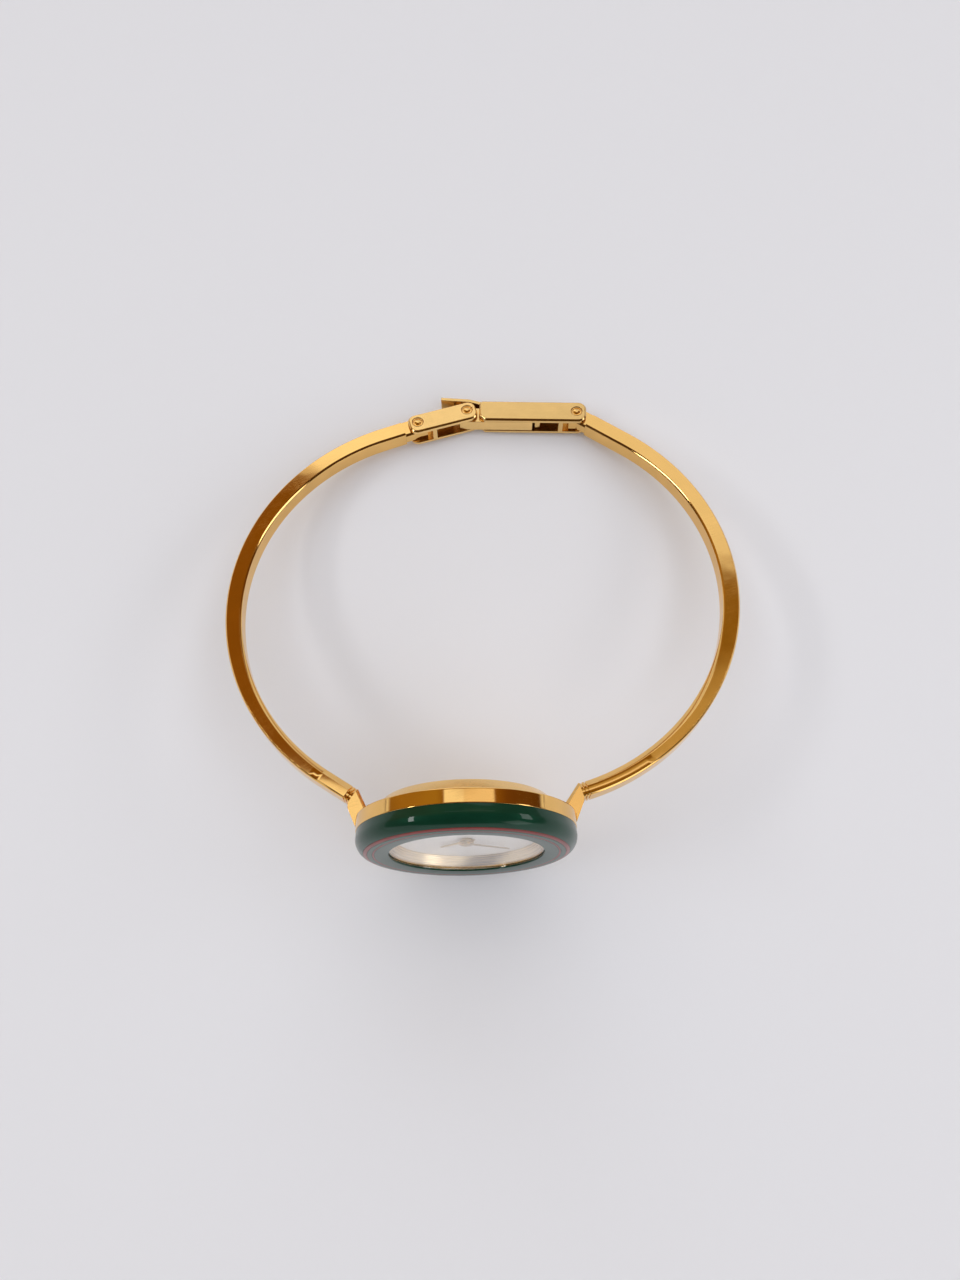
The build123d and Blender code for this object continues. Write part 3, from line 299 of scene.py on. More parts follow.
def link_piece(name, data):
    """Puts a new object in the scene, from its mesh, lamp or camera."""
    piece = bpy.data.objects.new(name, data)
    bpy.context.scene.collection.objects.link(piece)
    return piece


def line_mesh(name, points, closed, **values):
    """A line of edges through points in millimetres, with values kept on its points."""
    mesh = bpy.data.meshes.new(name)
    count = len(points)
    edges = [(i, (i + 1) % count) for i in range(count if closed else count - 1)]
    mesh.from_pydata([Vector((*point[:2], 0)) * MM for point in points], edges, [])
    for key, column in values.items():
        attribute = mesh.attributes.new(key, "FLOAT", "POINT")
        attribute.data.foreach_set("value", column)
    return mesh


def grow(name, mesh, tree, inputs, place):
    """Runs a tree on a line mesh, keeps the result as a plain mesh and puts it in place."""
    piece = link_piece(name, mesh)
    modifier = piece.modifiers.new("shape", "NODES")
    modifier.node_group = tree
    sockets = {s.name: s.identifier for s in tree.interface.items_tree if s.in_out == "INPUT"}
    for label, value in inputs.items():
        modifier[sockets[label]] = value
    depsgraph = bpy.context.evaluated_depsgraph_get()
    made = bpy.data.meshes.new_from_object(piece.evaluated_get(depsgraph))
    piece.modifiers.remove(modifier)
    piece.data = made
    if not made.polygons:
        raise RuntimeError(f"{name} came out empty")
    made.transform(place)
    made.name = name
    face_outward(made)
    soften(piece)
    return piece


def face_outward(mesh):
    work = bmesh.new()
    work.from_mesh(mesh)
    bmesh.ops.dissolve_degenerate(work, dist=SLIVER, edges=work.edges)
    bmesh.ops.recalc_face_normals(work, faces=work.faces)
    work.to_mesh(mesh)
    work.free()


def soften(piece):
    """Smooth shading that keeps flat faces flat beside their rounded edges."""
    piece.data.polygons.foreach_set("use_smooth", [True] * len(piece.data.polygons))
    piece.data.set_sharp_from_angle(angle=CREASE_ANGLE)
    normals = piece.modifiers.new("normals", "WEIGHTED_NORMAL")
    normals.keep_sharp = True


def turned(name, profile, material, place=FLAT, steps=192, flutes=0, flute_depth=0.0):
    """A turned piece, from points in millimetres: radius, depth, and where they aren't 0 the
    corner's radius and 1 for a fluted point."""
    rows = [(*point, 0, 0)[:4] for point in profile]
    mesh = line_mesh(
        name, rows, True,
        corner_radius=[row[2] * MM for row in rows], fluted=[row[3] for row in rows],
    )
    given = {
        "Steps": steps, "Corner Steps": CORNER_STEPS, "Flutes": flutes,
        "Flute Depth": flute_depth * MM, "Material": material,
    }
    return grow(name, mesh, tree_named("turned_part"), given, place)


TREES = {"turned_part": build_turned_tree, "bent_bar": build_bar_tree}


def tree_named(name):
    return bpy.data.node_groups.get(name) or TREES[name]()


def dressed(node, name, material, edge=0.05, steps=2, kept=None):
    """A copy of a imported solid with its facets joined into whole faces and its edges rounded.
    kept is a place and a way in the flat frame: what lies before that place is cut off, and a
    hair more."""
    mesh = frame["nodes"][node].data.copy()
    mesh.name = name
    work = bmesh.new()
    work.from_mesh(mesh)
    bmesh.ops.remove_doubles(work, verts=work.verts, dist=WELD_GAP)
    if kept:
        place, way = (Vector((*part, 0)) for part in kept)
        cut = bmesh.ops.bisect_plane(
            work,
            geom=[*work.verts, *work.edges, *work.faces],
            plane_co=FLAT @ ((place + way * CUT_BACK) * MM),
            plane_no=FLAT.to_3x3() @ way,
            clear_inner=True,
        )
        rim = [part for part in cut["geom_cut"] if isinstance(part, bmesh.types.BMEdge)]
        bmesh.ops.holes_fill(work, edges=rim, sides=0)
    bmesh.ops.dissolve_limit(
        work, angle_limit=FACET_ANGLE, verts=work.verts, edges=work.edges
    )
    bmesh.ops.recalc_face_normals(work, faces=work.faces)
    work.to_mesh(mesh)
    work.free()
    mesh.materials.clear()
    mesh.materials.append(material)
    piece = link_piece(name, mesh)
    bevel = piece.modifiers.new("edges", "BEVEL")
    bevel.width = edge * MM
    bevel.segments = steps
    bevel.limit_method = "ANGLE"
    bevel.angle_limit = ROUNDED_ANGLE
    soften(piece)
    return piece


def settle(piece, body, slot, *nodes):
    """Ties a finished piece to its body and hides the solids it stands for. The slot is not used."""
    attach(piece, body)
    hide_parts(*nodes)


def swung(way, angle):
    """A flat vector turned by an angle in radians."""
    cos, sin = math.cos(angle), math.sin(angle)
    return Vector((way.x * cos - way.y * sin, way.x * sin + way.y * cos))


def tangent_arc(start, end, heading, count):
    """Points on the arc that leaves start along heading and ends at end, and its last heading."""
    start, end, heading = Vector(start), Vector(end), Vector(heading).normalized()
    chord = end - start
    normal = Vector((-heading.y, heading.x))
    middle = start + normal * chord.length_squared / (2 * chord.dot(normal))
    first = start - middle
    turn = -first.angle_signed(end - middle)
    points = [middle + swung(first, turn * i / count) for i in range(1, count + 1)]
    return points, swung(heading, turn)


# Finishes

def new_finish(name, colour, roughness, metallic=0.0, **sockets):
    """A material with a plain shader. Returns the material, its tree and its shader."""
    material = bpy.data.materials.new(name)
    material.use_nodes = True
    tree = material.node_tree
    shader = next(node for node in tree.nodes if node.type == "BSDF_PRINCIPLED")
    shader.inputs["Base Color"].default_value = colour
    shader.inputs["Roughness"].default_value = roughness
    shader.inputs["Metallic"].default_value = metallic
    for label, value in sockets.items():
        shader.inputs[label.replace("_", " ")].default_value = value
    material.diffuse_color = colour
    return material, tree, shader


def flat_place(tree, scale=(1, 1, 1), heading=0.0, about=(0, 0, 0)):
    """Object coordinates turned into the flat frame, in millimetres times a scale, and turned
    by a heading in degrees in its xy plane about a place in millimetres."""
    place = FLAT @ Matrix.Translation(Vector(about) * MM)
    place = (place @ Matrix.Rotation(math.radians(heading), 4, "Z")).inverted()
    source = add_node(tree, "ShaderNodeTexCoord").outputs["Object"]
    turned_back = {"Vector": source, "Location": place.translation, "Rotation": place.to_euler()}
    scaled = {
        "Vector": add_node(tree, "ShaderNodeMapping", turned_back),
        "Scale": tuple(s / MM for s in scale),
    }
    return add_node(tree, "ShaderNodeMapping", scaled)


def ring_place(tree, scale):
    """The distance from the dial's axis, in millimetres times a scale, as a pattern's place,
    so that what is drawn on it runs round the axis."""
    x, y, z = add_node(tree, "ShaderNodeSeparateXYZ", {0: flat_place(tree)}).outputs
    squares = work_out(tree, x, "POWER", 2, "ADD", work_out(tree, z, "POWER", 2))
    distance = work_out(tree, squares, "SQRT", 0, "MULTIPLY", scale)
    depth = work_out(tree, y, "MULTIPLY", scale)
    return add_node(tree, "ShaderNodeCombineXYZ", {0: distance, 1: depth})


def cloud(tree, scale, detail, place=None, roughness=0.5):
    """A cloudy pattern at a place, which is the flat frame in millimetres where none is given."""
    given = {
        "Vector": place or flat_place(tree), "Scale": scale, "Detail": detail,
        "Roughness": roughness,
    }
    return add_node(tree, "ShaderNodeTexNoise", given)


def shade(colour, factor):
    return (*(min(1.0, part * factor) for part in colour[:3]), 1.0)


# The values that a cloudy pattern mostly stays within, and all that it can have
MIDST = (0.3, 0.7)
WHOLE = (0, 1)


def tint(tree, shader, pattern, colour, shades, reach=MIDST):
    """Lets a pattern move a finish's colour from a darker to a lighter shade, within the reach
    of its values."""
    given = {"Value": pattern, 1: reach[0], 2: reach[1]}
    share = add_node(tree, "ShaderNodeMapRange", given)
    dark, light = (shade(colour, factor) for factor in shades)
    mixed = add_node(tree, "ShaderNodeMix", {0: share, 6: dark, 7: light}, data_type="RGBA")
    set_inputs(tree, shader, {"Base Color": mixed})


def dull(tree, shader, pattern, smooth, rough, reach=MIDST):
    """Lets a pattern move a finish's roughness from smooth to rough, within the reach of its
    values."""
    given = {"Value": pattern, 1: reach[0], 2: reach[1], 3: smooth, 4: rough}
    set_inputs(tree, shader, {"Roughness": add_node(tree, "ShaderNodeMapRange", given)})


def raise_grain(tree, shader, height, depth, strength=1.0):
    """Bumps a shader by a height pattern whose full depth is in millimetres."""
    given = {"Strength": strength, "Distance": depth * MM, "Height": height}
    bump = add_node(tree, "ShaderNodeBump", given)
    set_inputs(tree, shader, {"Normal": bump})
    return bump


# Gold plate over brass, buffed by hand: clear reflections that sway a little where the wheel
# bit deeper, with hairlines from wear that only dull it in places
def polished_gold(name, colour):
    material, tree, shader = new_finish(name, colour, 0.09, 1.0)
    hairline = cloud(tree, 1.6, 4, flat_place(tree, (0.35, 9, 9), 20))
    rubbed = cloud(tree, 0.35, 3)
    worn = [
        add_node(tree, "ShaderNodeMapRange", {"Value": pattern, 1: low, 2: high})
        for pattern, low, high in ((hairline, 0.45, 0.75), (rubbed, *MIDST))
    ]
    dull(tree, shader, work_out(tree, worn[0], "MULTIPLY", worn[1]), 0.06, 0.17, WHOLE)
    tint(tree, shader, rubbed, colour, (0.95, 1.03))
    raise_grain(tree, shader, cloud(tree, 0.28, 1), 0.012)
    return material


# The same plate over a brushed face: a soft sheen drawn out along fine lines about 0.05 mm
# apart, drawn at 0.1 mm because finer ones can't show
def brushed_gold(name, colour, heading=0.0, about=(0, 0, 0)):
    material, tree, shader = new_finish(name, colour, 0.2, 1.0)
    lines = cloud(tree, 1.0, 2, flat_place(tree, (0.2, 14, 14), heading, about))
    dull(tree, shader, lines, 0.17, 0.24)
    tint(tree, shader, cloud(tree, 0.4, 2), colour, (0.95, 1.02))
    raise_grain(tree, shader, lines, 0.0015)
    return material


# Turned and lapped metal: grain that runs round the dial's axis, so light gathers on it in
# two soft fans
def lapped_metal(name, colour, roughness, pitch, depth):
    material, tree, shader = new_finish(name, colour, roughness, 1.0)
    rings = cloud(tree, 0.5, 2, ring_place(tree, 1 / pitch), 0.6)
    dull(tree, shader, rings, roughness * 0.85, roughness * 1.25)
    tint(tree, shader, rings, colour, (0.93, 1.05), WHOLE)
    raise_grain(tree, shader, rings, depth)
    return material


# Hard enamel lacquer over metal: deep colour under a clear gloss that mirrors the room in a
# green cast, with the faint unevenness of a poured coat
def enamel(name, colour):
    material, tree, shader = new_finish(
        name, colour, 0.4, Specular_IOR_Level=0.4, Specular_Tint=linear("#5FD0A0"),
        Coat_Weight=0.7, Coat_Roughness=0.03, Coat_IOR=1.4,
    )
    tint(tree, shader, cloud(tree, 0.5, 3), colour, (0.85, 1.12))
    bump = raise_grain(tree, shader, cloud(tree, 0.45, 1), 0.01)
    set_inputs(tree, shader, {"Coat Normal": bump})
    return material


# Ground mineral glass: clear, with a hard clean reflection, and it lets the lamps through to
# the dial
def mineral_glass(name, colour):
    material, tree, shader = new_finish(name, colour, 0.0, IOR=1.5, Transmission_Weight=1.0)
    dull(tree, shader, cloud(tree, 0.3, 2), 0.0, 0.02)
    lit = add_node(tree, "ShaderNodeLightPath").outputs["Is Shadow Ray"]
    clear = add_node(tree, "ShaderNodeBsdfTransparent", {"Color": colour})
    both = add_node(tree, "ShaderNodeMixShader", {0: lit, 1: shader, 2: clear})
    end = next(node for node in tree.nodes if node.type == "OUTPUT_MATERIAL")
    set_inputs(tree, end, {"Surface": both})
    return material


# Satin dial lacquer: an off-white with a very fine pearl grain
def dial_lacquer(name, colour):
    material, tree, shader = new_finish(name, colour, 0.38, Coat_Weight=0.35, Coat_Roughness=0.2)
    pearl = cloud(tree, 14, 2)
    tint(tree, shader, pearl, colour, (0.97, 1.02))
    dull(tree, shader, pearl, 0.33, 0.44)
    raise_grain(tree, shader, pearl, 0.0015)
    return material


# Steel, rolled and brushed: grey with fine straight lines
def brushed_steel(name, colour):
    material, tree, shader = new_finish(name, colour, 0.3, 1.0)
    lines = cloud(tree, 1.0, 3, flat_place(tree, (0.3, 12, 12)), 0.6)
    dull(tree, shader, lines, 0.24, 0.4)
    tint(tree, shader, lines, colour, (0.9, 1.06), WHOLE)
    raise_grain(tree, shader, lines, 0.004)
    return material


# Moulded nylon and rubber: dull, with a fine even texture from the mould
def moulded(name, colour, roughness, grain, depth):
    material, tree, shader = new_finish(name, colour, roughness)
    speck = cloud(tree, grain, 3)
    tint(tree, shader, speck, colour, (0.9, 1.08))
    dull(tree, shader, speck, roughness - 0.06, roughness + 0.06)
    raise_grain(tree, shader, speck, depth)
    return material


# Fine enamelled copper wire wound in layers: turns about 0.05 mm thick, drawn at 0.12 mm so
# that they show
DRAWN_TURN = 0.12


def wound_copper(name, colour):
    material, tree, shader = new_finish(name, colour, 0.32, 0.9)
    given = {
        "Vector": flat_place(tree), "Scale": 1 / DRAWN_TURN / math.tau * 2, "Distortion": 0.4,
    }
    turns = add_node(
        tree, "ShaderNodeTexWave", given, wave_type="BANDS", bands_direction="Z"
    )
    # Painted shade and highlight: the colour darkens in the grooves between turns and lifts a little on their
    # crests
    tint(tree, shader, turns, colour, (0.45, 1.1), WHOLE)
    raise_grain(tree, shader, turns, 0.03)
    return material


# Pressed iron and samarium magnet: dark, finely pitted
def sintered(name, colour):
    material, tree, shader = new_finish(name, colour, 0.5, 0.7)
    pits = cloud(tree, 9, 4, roughness=0.7)
    tint(tree, shader, pits, colour, (0.7, 1.3), WHOLE)
    raise_grain(tree, shader, pits, 0.01)
    return material


FINISHES = {}


def make_finishes(look):
    """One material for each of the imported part's finishes."""
    FINISHES.update({
        "polished_gold": polished_gold("buffed gold plate", look.gold),
        "brushed_gold": brushed_gold("brushed gold plate", look.brushed_gold),
        "gold_hands": polished_gold("buffed gold hands", look.hand_gold),
        "green_enamel": enamel("green enamel lacquer", look.enamel),
        "red_enamel": enamel("red enamel lacquer", look.inlay),
        "crystal_glass": mineral_glass("mineral crystal glass", look.glass),
        "dial_white": dial_lacquer("satin dial lacquer", look.dial),
        "champagne_gold": lapped_metal("lapped champagne plate", look.champagne, 0.27, 0.06, 0.003),
        "steel": brushed_steel("brushed steel", linear("#C9C9CC")),
        "movement_brass": lapped_metal("turned brass", linear("#D9C184"), 0.25, 0.08, 0.002),
        "gilt_plate": lapped_metal("gilt brass plate", linear("#E0C88E"), 0.32, 0.15, 0.004),
        "white_nylon": moulded("moulded white nylon", linear("#ECECE6"), 0.5, 3.0, 0.006),
        "black_rubber": moulded("moulded black rubber", linear("#2A2A2A"), 0.65, 5.0, 0.008),
        "copper_wire": wound_copper("wound copper wire", linear("#C9804F")),
        "green_board": moulded("green circuit laminate", linear("#2E6E4E"), 0.4, 4.0, 0.004),
        "magnet_black": sintered("sintered magnet", linear("#4A4A4C")),
    })


class WatchLook(bpy.types.PropertyGroup):
    gold: colour_property("Gold", "Polished gold plate", "#F4C476")
    brushed_gold: colour_property("Brushed gold", "Brushed gold plate of the clasp", "#F8CE86")
    hand_gold: colour_property("Hands", "Gold plate of the hands", "#D9BE92")
    enamel: colour_property("Enamel", "Enamel of the ring", "#062C1E")
    inlay: colour_property("Inlay", "Enamel of the two pinstripes", "#7A0408")
    glass: colour_property("Glass", "Crystal", "#FFFFFF")
    dial: colour_property("Dial", "Dial lacquer", "#FAF5F1")
    champagne: colour_property("Champagne", "Sloping flange round the dial", "#F8DEB6")
    edge_radius: length_property("Edge radius", "Rounding of the head's turned edges", 0.05)
    clasp_edge: length_property("Clasp edge", "Rounding of the clasp's edges", 0.05)


class WatchStage(bpy.types.PropertyGroup):
    floor: colour_property("Floor", "Colour of the floor", "#E4E5EA")
    key: glow_property("Ceiling light", "Wide soft light overhead", 0.95)
    fill: glow_property("Fill light", "Soft light from the right and front", 1.06)
    cards: glow_property("Side lights", "Small lights that the head mirrors", 3.0)
    window: glow_property("Window", "Window overhead that the head mirrors", 1.0)
    wall: glow_property("Wall", "Bright wall behind the watch", 1.0)
    sky: glow_property("Sky", "Soft light from all round", 1.0)


def size_of(node):
    low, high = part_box(node)
    return high - low


class WATCH_OT_finishes(bpy.types.Operator):
    """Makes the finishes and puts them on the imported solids"""

    bl_idname = "watch.finishes"
    bl_label = "Finishes"

    def execute(self, context):
        make_finishes(context.scene.watch_look)
        for node, solid in frame["nodes"].items():
            solid.data.materials.clear()
            solid.data.materials.append(FINISHES[SLOT_OF[node]])
        return {"FINISHED"}


# The head's sizes in millimetres: radii from the dial's axis, and depths from the case's front
# edge, which grow toward the wrist
CASE_RADIUS = size_of("bezel_ring").x / 2 / MM
CASE_DEPTH = 1.65
NECK_RADIUS = CASE_RADIUS - 2.3
NECK_FRONT = -2.17
BORE_RADIUS = CASE_RADIUS - 3.2
LEDGE_RADIUS = BORE_RADIUS - 0.65
LEDGE_BACK = -1.47
FIT = 0.02
SEAT = -1.67
CRYSTAL_RADIUS = 9
CRYSTAL_BACK = SEAT - FIT
FLANGE_FRONT = LEDGE_BACK + FIT
FLANGE_BACK = -0.37
FLANGE_RADIUS = BORE_RADIUS - 1.4
DIAL_FRONT = FLANGE_BACK + FIT
DIAL_BACK = 0.05
DIAL_HOLE = 0.66
PLUG_RADIUS = BORE_RADIUS - FIT
PLUG_INSIDE = PLUG_RADIUS - 0.52
PLUG_FRONT = 1.13
BACK_INSIDE = 2.8
BACK_RIM = (10.9, 1.98)
BACK_BREAK = (9.6, 3.37)
BACK_FACE = (9.1, 3.52)
SMALL_CORNER = 0.02


class WATCH_OT_case(bpy.types.Operator):
    """Builds the polished case, its back, the crystal, the flange and the dial"""

    bl_idname = "watch.case"
    bl_label = "Case"

    def execute(self, context):
        edge = context.scene.watch_look.edge_radius / MM
        drum = [
            (BORE_RADIUS, NECK_FRONT), (NECK_RADIUS, NECK_FRONT, SMALL_CORNER), (NECK_RADIUS, 0),
            (CASE_RADIUS, 0, edge), (CASE_RADIUS, edge * 2),
            (CASE_RADIUS, CASE_DEPTH - edge * 4), (CASE_RADIUS, CASE_DEPTH, edge * 3),
            (BORE_RADIUS, CASE_DEPTH), (BORE_RADIUS, LEDGE_BACK),
            (LEDGE_RADIUS, LEDGE_BACK, 0.03), (LEDGE_RADIUS, SEAT, 0.03), (BORE_RADIUS, SEAT),
        ]
        back = [
            (0, BACK_INSIDE), (PLUG_INSIDE, BACK_INSIDE), (PLUG_INSIDE, PLUG_FRONT),
            (PLUG_RADIUS, PLUG_FRONT), (PLUG_RADIUS, CASE_DEPTH + FIT),
            (BACK_RIM[0], CASE_DEPTH + FIT, edge), (*BACK_RIM, 0.1), (*BACK_BREAK, 0.3),
            (*BACK_FACE, 0.4), (0, BACK_FACE[1]),
        ]
        glass = [
            (0, NECK_FRONT), (CRYSTAL_RADIUS, NECK_FRONT, 0.06),
            (CRYSTAL_RADIUS, CRYSTAL_BACK, 0.03), (0, CRYSTAL_BACK),
        ]
        slope = [
            (LEDGE_RADIUS, FLANGE_FRONT, SMALL_CORNER), (PLUG_RADIUS, FLANGE_FRONT),
            (PLUG_RADIUS, FLANGE_BACK), (FLANGE_RADIUS, FLANGE_BACK, SMALL_CORNER),
        ]
        dial = [
            (DIAL_HOLE, DIAL_FRONT, SMALL_CORNER), (PLUG_RADIUS, DIAL_FRONT),
            (PLUG_RADIUS, DIAL_BACK), (DIAL_HOLE, DIAL_BACK),
        ]
        for name, outline, finish, steps, node in (
            ("case_drum", drum, "polished_gold", 256, "case_middle"),
            ("case_back_plate", back, "brushed_gold", 256, "case_back"),
            ("crystal_disc", glass, "crystal_glass", 192, "crystal"),
            ("flange_slope", slope, "champagne_gold", 256, "dial_flange"),
            ("dial_plate", dial, "dial_white", 192, "dial"),
        ):
            piece = turned(name, outline, FINISHES[finish], steps=steps)
            settle(piece, "case", finish, node)
        return {"FINISHED"}


# The ring's outside: its side's front end, the crest between its side and its face, and the
# face's inner end, each as radius and depth
RING_SIDE = (CASE_RADIUS, -0.85)
RING_CREST = (CASE_RADIUS - 1.6, -2.5)
RING_OPENING = (8.75, -2.4)
RING_LIP_BACK = -2.2
RING_BORE = 10.22
RING_STEPS = 320


def ring_surface():
    """Points down the ring's outside, from its side to its opening."""
    first, heading = tangent_arc(RING_SIDE, RING_CREST, (0, -1), 40)
    second, heading = tangent_arc(RING_CREST, RING_OPENING, heading, 30)
    return [Vector(RING_SIDE), *first, *second]


def surface_depth(surface, radius):
    for a, b in zip(surface, surface[1:]):
        if b.x <= radius <= a.x:
            return a.y + (b.y - a.y) * (a.x - radius) / max(a.x - b.x, 1e-9)
    raise ValueError(f"radius {radius} is off the ring")


# The pinstripes' middle radius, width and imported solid
STRIPES = {
    "wide_stripe": (11.35, 0.42, "bezel_stripe_wide"),
    "narrow_stripe": (10.45, 0.2, "bezel_stripe_narrow"),
}
STRIPE_DEPTH = 0.2
STRIPE_CORNER = 0.015


class WATCH_OT_ring(bpy.types.Operator):
    """Builds the enamelled ring and the two pinstripes let into it"""

    bl_idname = "watch.ring"
    bl_label = "Enamelled ring"

    def execute(self, context):
        surface = ring_surface()
        edge = context.scene.watch_look.edge_radius / MM
        outline = [(RING_BORE, 0), (CASE_RADIUS - 0.05, 0, SMALL_CORNER)]
        left = list(surface)
        for radius, width, _ in sorted(STRIPES.values(), reverse=True):
            high, low = radius + width / 2 + FIT, radius - width / 2 - FIT
            floor = surface_depth(surface, radius) + STRIPE_DEPTH + FIT
            outline += [tuple(p) for p in left if p.x > high]
            outline += [(high, surface_depth(surface, high), SMALL_CORNER), (high, floor)]
            outline += [(low, floor), (low, surface_depth(surface, low), SMALL_CORNER)]
            left = [p for p in left if p.x < low]
        outline += [tuple(p) for p in left[:-1]]
        outline += [
            (*RING_OPENING, edge), (RING_OPENING[0], RING_LIP_BACK, SMALL_CORNER),
            (RING_BORE, RING_LIP_BACK),
        ]
        ring = turned("enamel_ring", outline, FINISHES["green_enamel"], steps=RING_STEPS)
        settle(ring, "bezel", "green_enamel", "bezel_ring")
        for name, (radius, width, node) in STRIPES.items():
            high, low = radius + width / 2, radius - width / 2
            floor = surface_depth(surface, radius) + STRIPE_DEPTH
            top = [tuple(p) for p in surface if low < p.x < high]
            outline = [
                (high, floor), (high, surface_depth(surface, high), STRIPE_CORNER), *top,
                (low, surface_depth(surface, low), STRIPE_CORNER), (low, floor),
            ]
            stripe = turned(name, outline, FINISHES["red_enamel"], steps=RING_STEPS)
            settle(stripe, "bezel", "red_enamel", node)
        return {"FINISHED"}


class WATCH_OT_hands(bpy.types.Operator):
    """Rounds the edges of the two hands"""

    bl_idname = "watch.hands"
    bl_label = "Hands"

    def execute(self, context):
        for node, body in (("hour_hand", "hour_set"), ("minute_hand", "minute_set")):
            hand = dressed(node, node + "_blade", FINISHES["gold_hands"], 0.02)
            settle(hand, body, "gold_hands", node)
        return {"FINISHED"}


# The crown: its sizes out from the case's side, in millimetres
CROWN_GAP = 0.08
CROWN_LENGTH = 1.32
CROWN_RADIUS = 1.13
HOLLOW_RADIUS = 0.93
HOLLOW_DEPTH = 0.6
FLUTES = 20
FLUTE_DEPTH = 0.09


class WATCH_OT_crown(bpy.types.Operator):
    """Builds the fluted crown"""

    bl_idname = "watch.crown"
    bl_label = "Crown"

    def execute(self, context):
        place = FLAT @ Matrix.Translation(Vector((0, CASE_DEPTH / 2, 0)) * MM)
        place = place @ Matrix.Rotation(math.radians(-90), 4, "X")
        start = CASE_RADIUS + CROWN_GAP
        end = start + CROWN_LENGTH
        outline = [
            (0, start + HOLLOW_DEPTH), (HOLLOW_RADIUS, start + HOLLOW_DEPTH),
            (HOLLOW_RADIUS, start, SMALL_CORNER), (CROWN_RADIUS, start, 0.05),
            (CROWN_RADIUS, start + 0.06, 0, 1), (CROWN_RADIUS, end - 0.24, 0, 1),
            (CROWN_RADIUS - 0.05, end - 0.12, 0.05), (CROWN_RADIUS - 0.15, end, 0.1), (0, end),
        ]
        gold = FINISHES["polished_gold"]
        crown = turned("crown_knob", outline, gold, place, 240, FLUTES, FLUTE_DEPTH)
        settle(crown, "crown_set", "polished_gold", "crown")
        return {"FINISHED"}


# Each arm, in millimetres and degrees: root, heading, straight run, bend radius, bend angle and
# run to the pin
ARMS = {
    "right": ((CASE_RADIUS + 0.76, 4.43), 16.4, 0.72, 27.84, 127.05, 7.86),
    "left": ((-CASE_RADIUS - 0.36, 4.46), 146.4, 4.34, 27.39, -126.5, 5.25),
}
ARM_WIDTH = 2.4
ARM_THICKNESS = 2.3
ROOT_THICKNESS = 1.85
ROOT_BEVEL = 0.72
FINE_BEVEL = 0.22
OUTER_BEVEL = 0.2
ARM_EDGE = 0.06
GROOVE_STARTS = (0.24, 0.64)
GROOVE_WIDTH = 0.16
GROOVE_SLOPE = 0.02
GROOVE_DEPTH = 0.15
SHOULDER = 2.17
END_CAP = 0.002
BEND_STEPS = 120


def arm_path(root, heading, run, radius, angle, end_run):
    """Rows along an arm's middle line: a point, the arm's thickness, how deep a groove is there,
    and 0 where the arm closes or else 1. Returns them with its shoulder and its last way."""
    start, ahead = Vector(root), Vector((1, 0))
    way = swung(ahead, math.radians(heading))
    steps = [0.0, GROOVE_SLOPE * 2]
    for groove in GROOVE_STARTS:
        end = groove + GROOVE_WIDTH
        steps += [groove, groove + GROOVE_SLOPE, end - GROOVE_SLOPE, end]
    steps.append(max(run, end + GROOVE_SLOPE / 2))
    rows = [(start - way * END_CAP, ROOT_THICKNESS, 0, 0)]
    for s in steps:
        sunk = any(
            groove + GROOVE_SLOPE / 2 < s < groove + GROOVE_WIDTH - GROOVE_SLOPE / 2
            for groove in GROOVE_STARTS
        )
        rows.append((start + way * s, ROOT_THICKNESS, GROOVE_DEPTH if sunk else 0, 1))
    corner = start + way * run
    centre = corner + Vector((-way.y, way.x)) * math.copysign(radius, angle)
    for i in range(1, BEND_STEPS + 1):
        point = centre + swung(corner - centre, math.radians(angle) * i / BEND_STEPS)
        thickness = ROOT_THICKNESS + (ARM_THICKNESS - ROOT_THICKNESS) * i / BEND_STEPS
        rows.append((point, thickness, 0, 1))
    way = swung(ahead, math.radians(heading + angle))
    shoulder = rows[-1][0] + way * (end_run - SHOULDER)
    rows.append((shoulder, ARM_THICKNESS, 0, 1))
    rows.append((shoulder + way * END_CAP, ARM_THICKNESS, 0, 0))
    return rows, shoulder, way


# Up to where along each arm its inner bevel is wide, and from where on it is fine, as shares
BEVEL_SHARES = {"right": (0.33, 0.5), "left": (0.05, 0.42)}


def bevel_widening(side, share):
    wide, fine = BEVEL_SHARES[side]
    return min(1.0, max(0.0, (fine - share) / (fine - wide)))


class WATCH_OT_arms(bpy.types.Operator):
    """Bends the two bevelled arms along their routes, and dresses the lugs that carry them"""

    bl_idname = "watch.arms"
    bl_label = "Arms and lugs"

    def execute(self, context):
        gold = FINISHES["polished_gold"]
        for side, route in ARMS.items():
            rows, shoulder, way = arm_path(*route)
            points, thickness, groove, opened = zip(*rows)
            path = line_mesh(
                "arm_route_" + side, points, False,
                thickness=[value * MM for value in thickness],
                groove=[value * MM for value in groove], opened=opened,
                widening=[bevel_widening(side, i / len(rows)) for i in range(len(rows))],
            )
            sizes = {
                "Width": ARM_WIDTH, "Thickness": ARM_THICKNESS, "Root Bevel": ROOT_BEVEL,
                "Inner Bevel": FINE_BEVEL, "Outer Bevel": OUTER_BEVEL, "Edge Radius": ARM_EDGE,
            }
            given = {name: size * MM for name, size in sizes.items()}
            given |= {"Inner Side": math.copysign(1, route[4]), "Material": gold}
            arm = grow("arm_bar_" + side, path, tree_named("bent_bar"), given, FLAT)
            settle(arm, "case", "polished_gold", "arm_" + side)
            eye = dressed("arm_" + side, "arm_eye_" + side, gold, kept=(shoulder, way))
            settle(eye, "case", "polished_gold", "arm_" + side)
            lug = dressed("lug_" + side, "lug_end_" + side, gold)
            settle(lug, "case", "polished_gold", "lug_" + side)
        return {"FINISHED"}


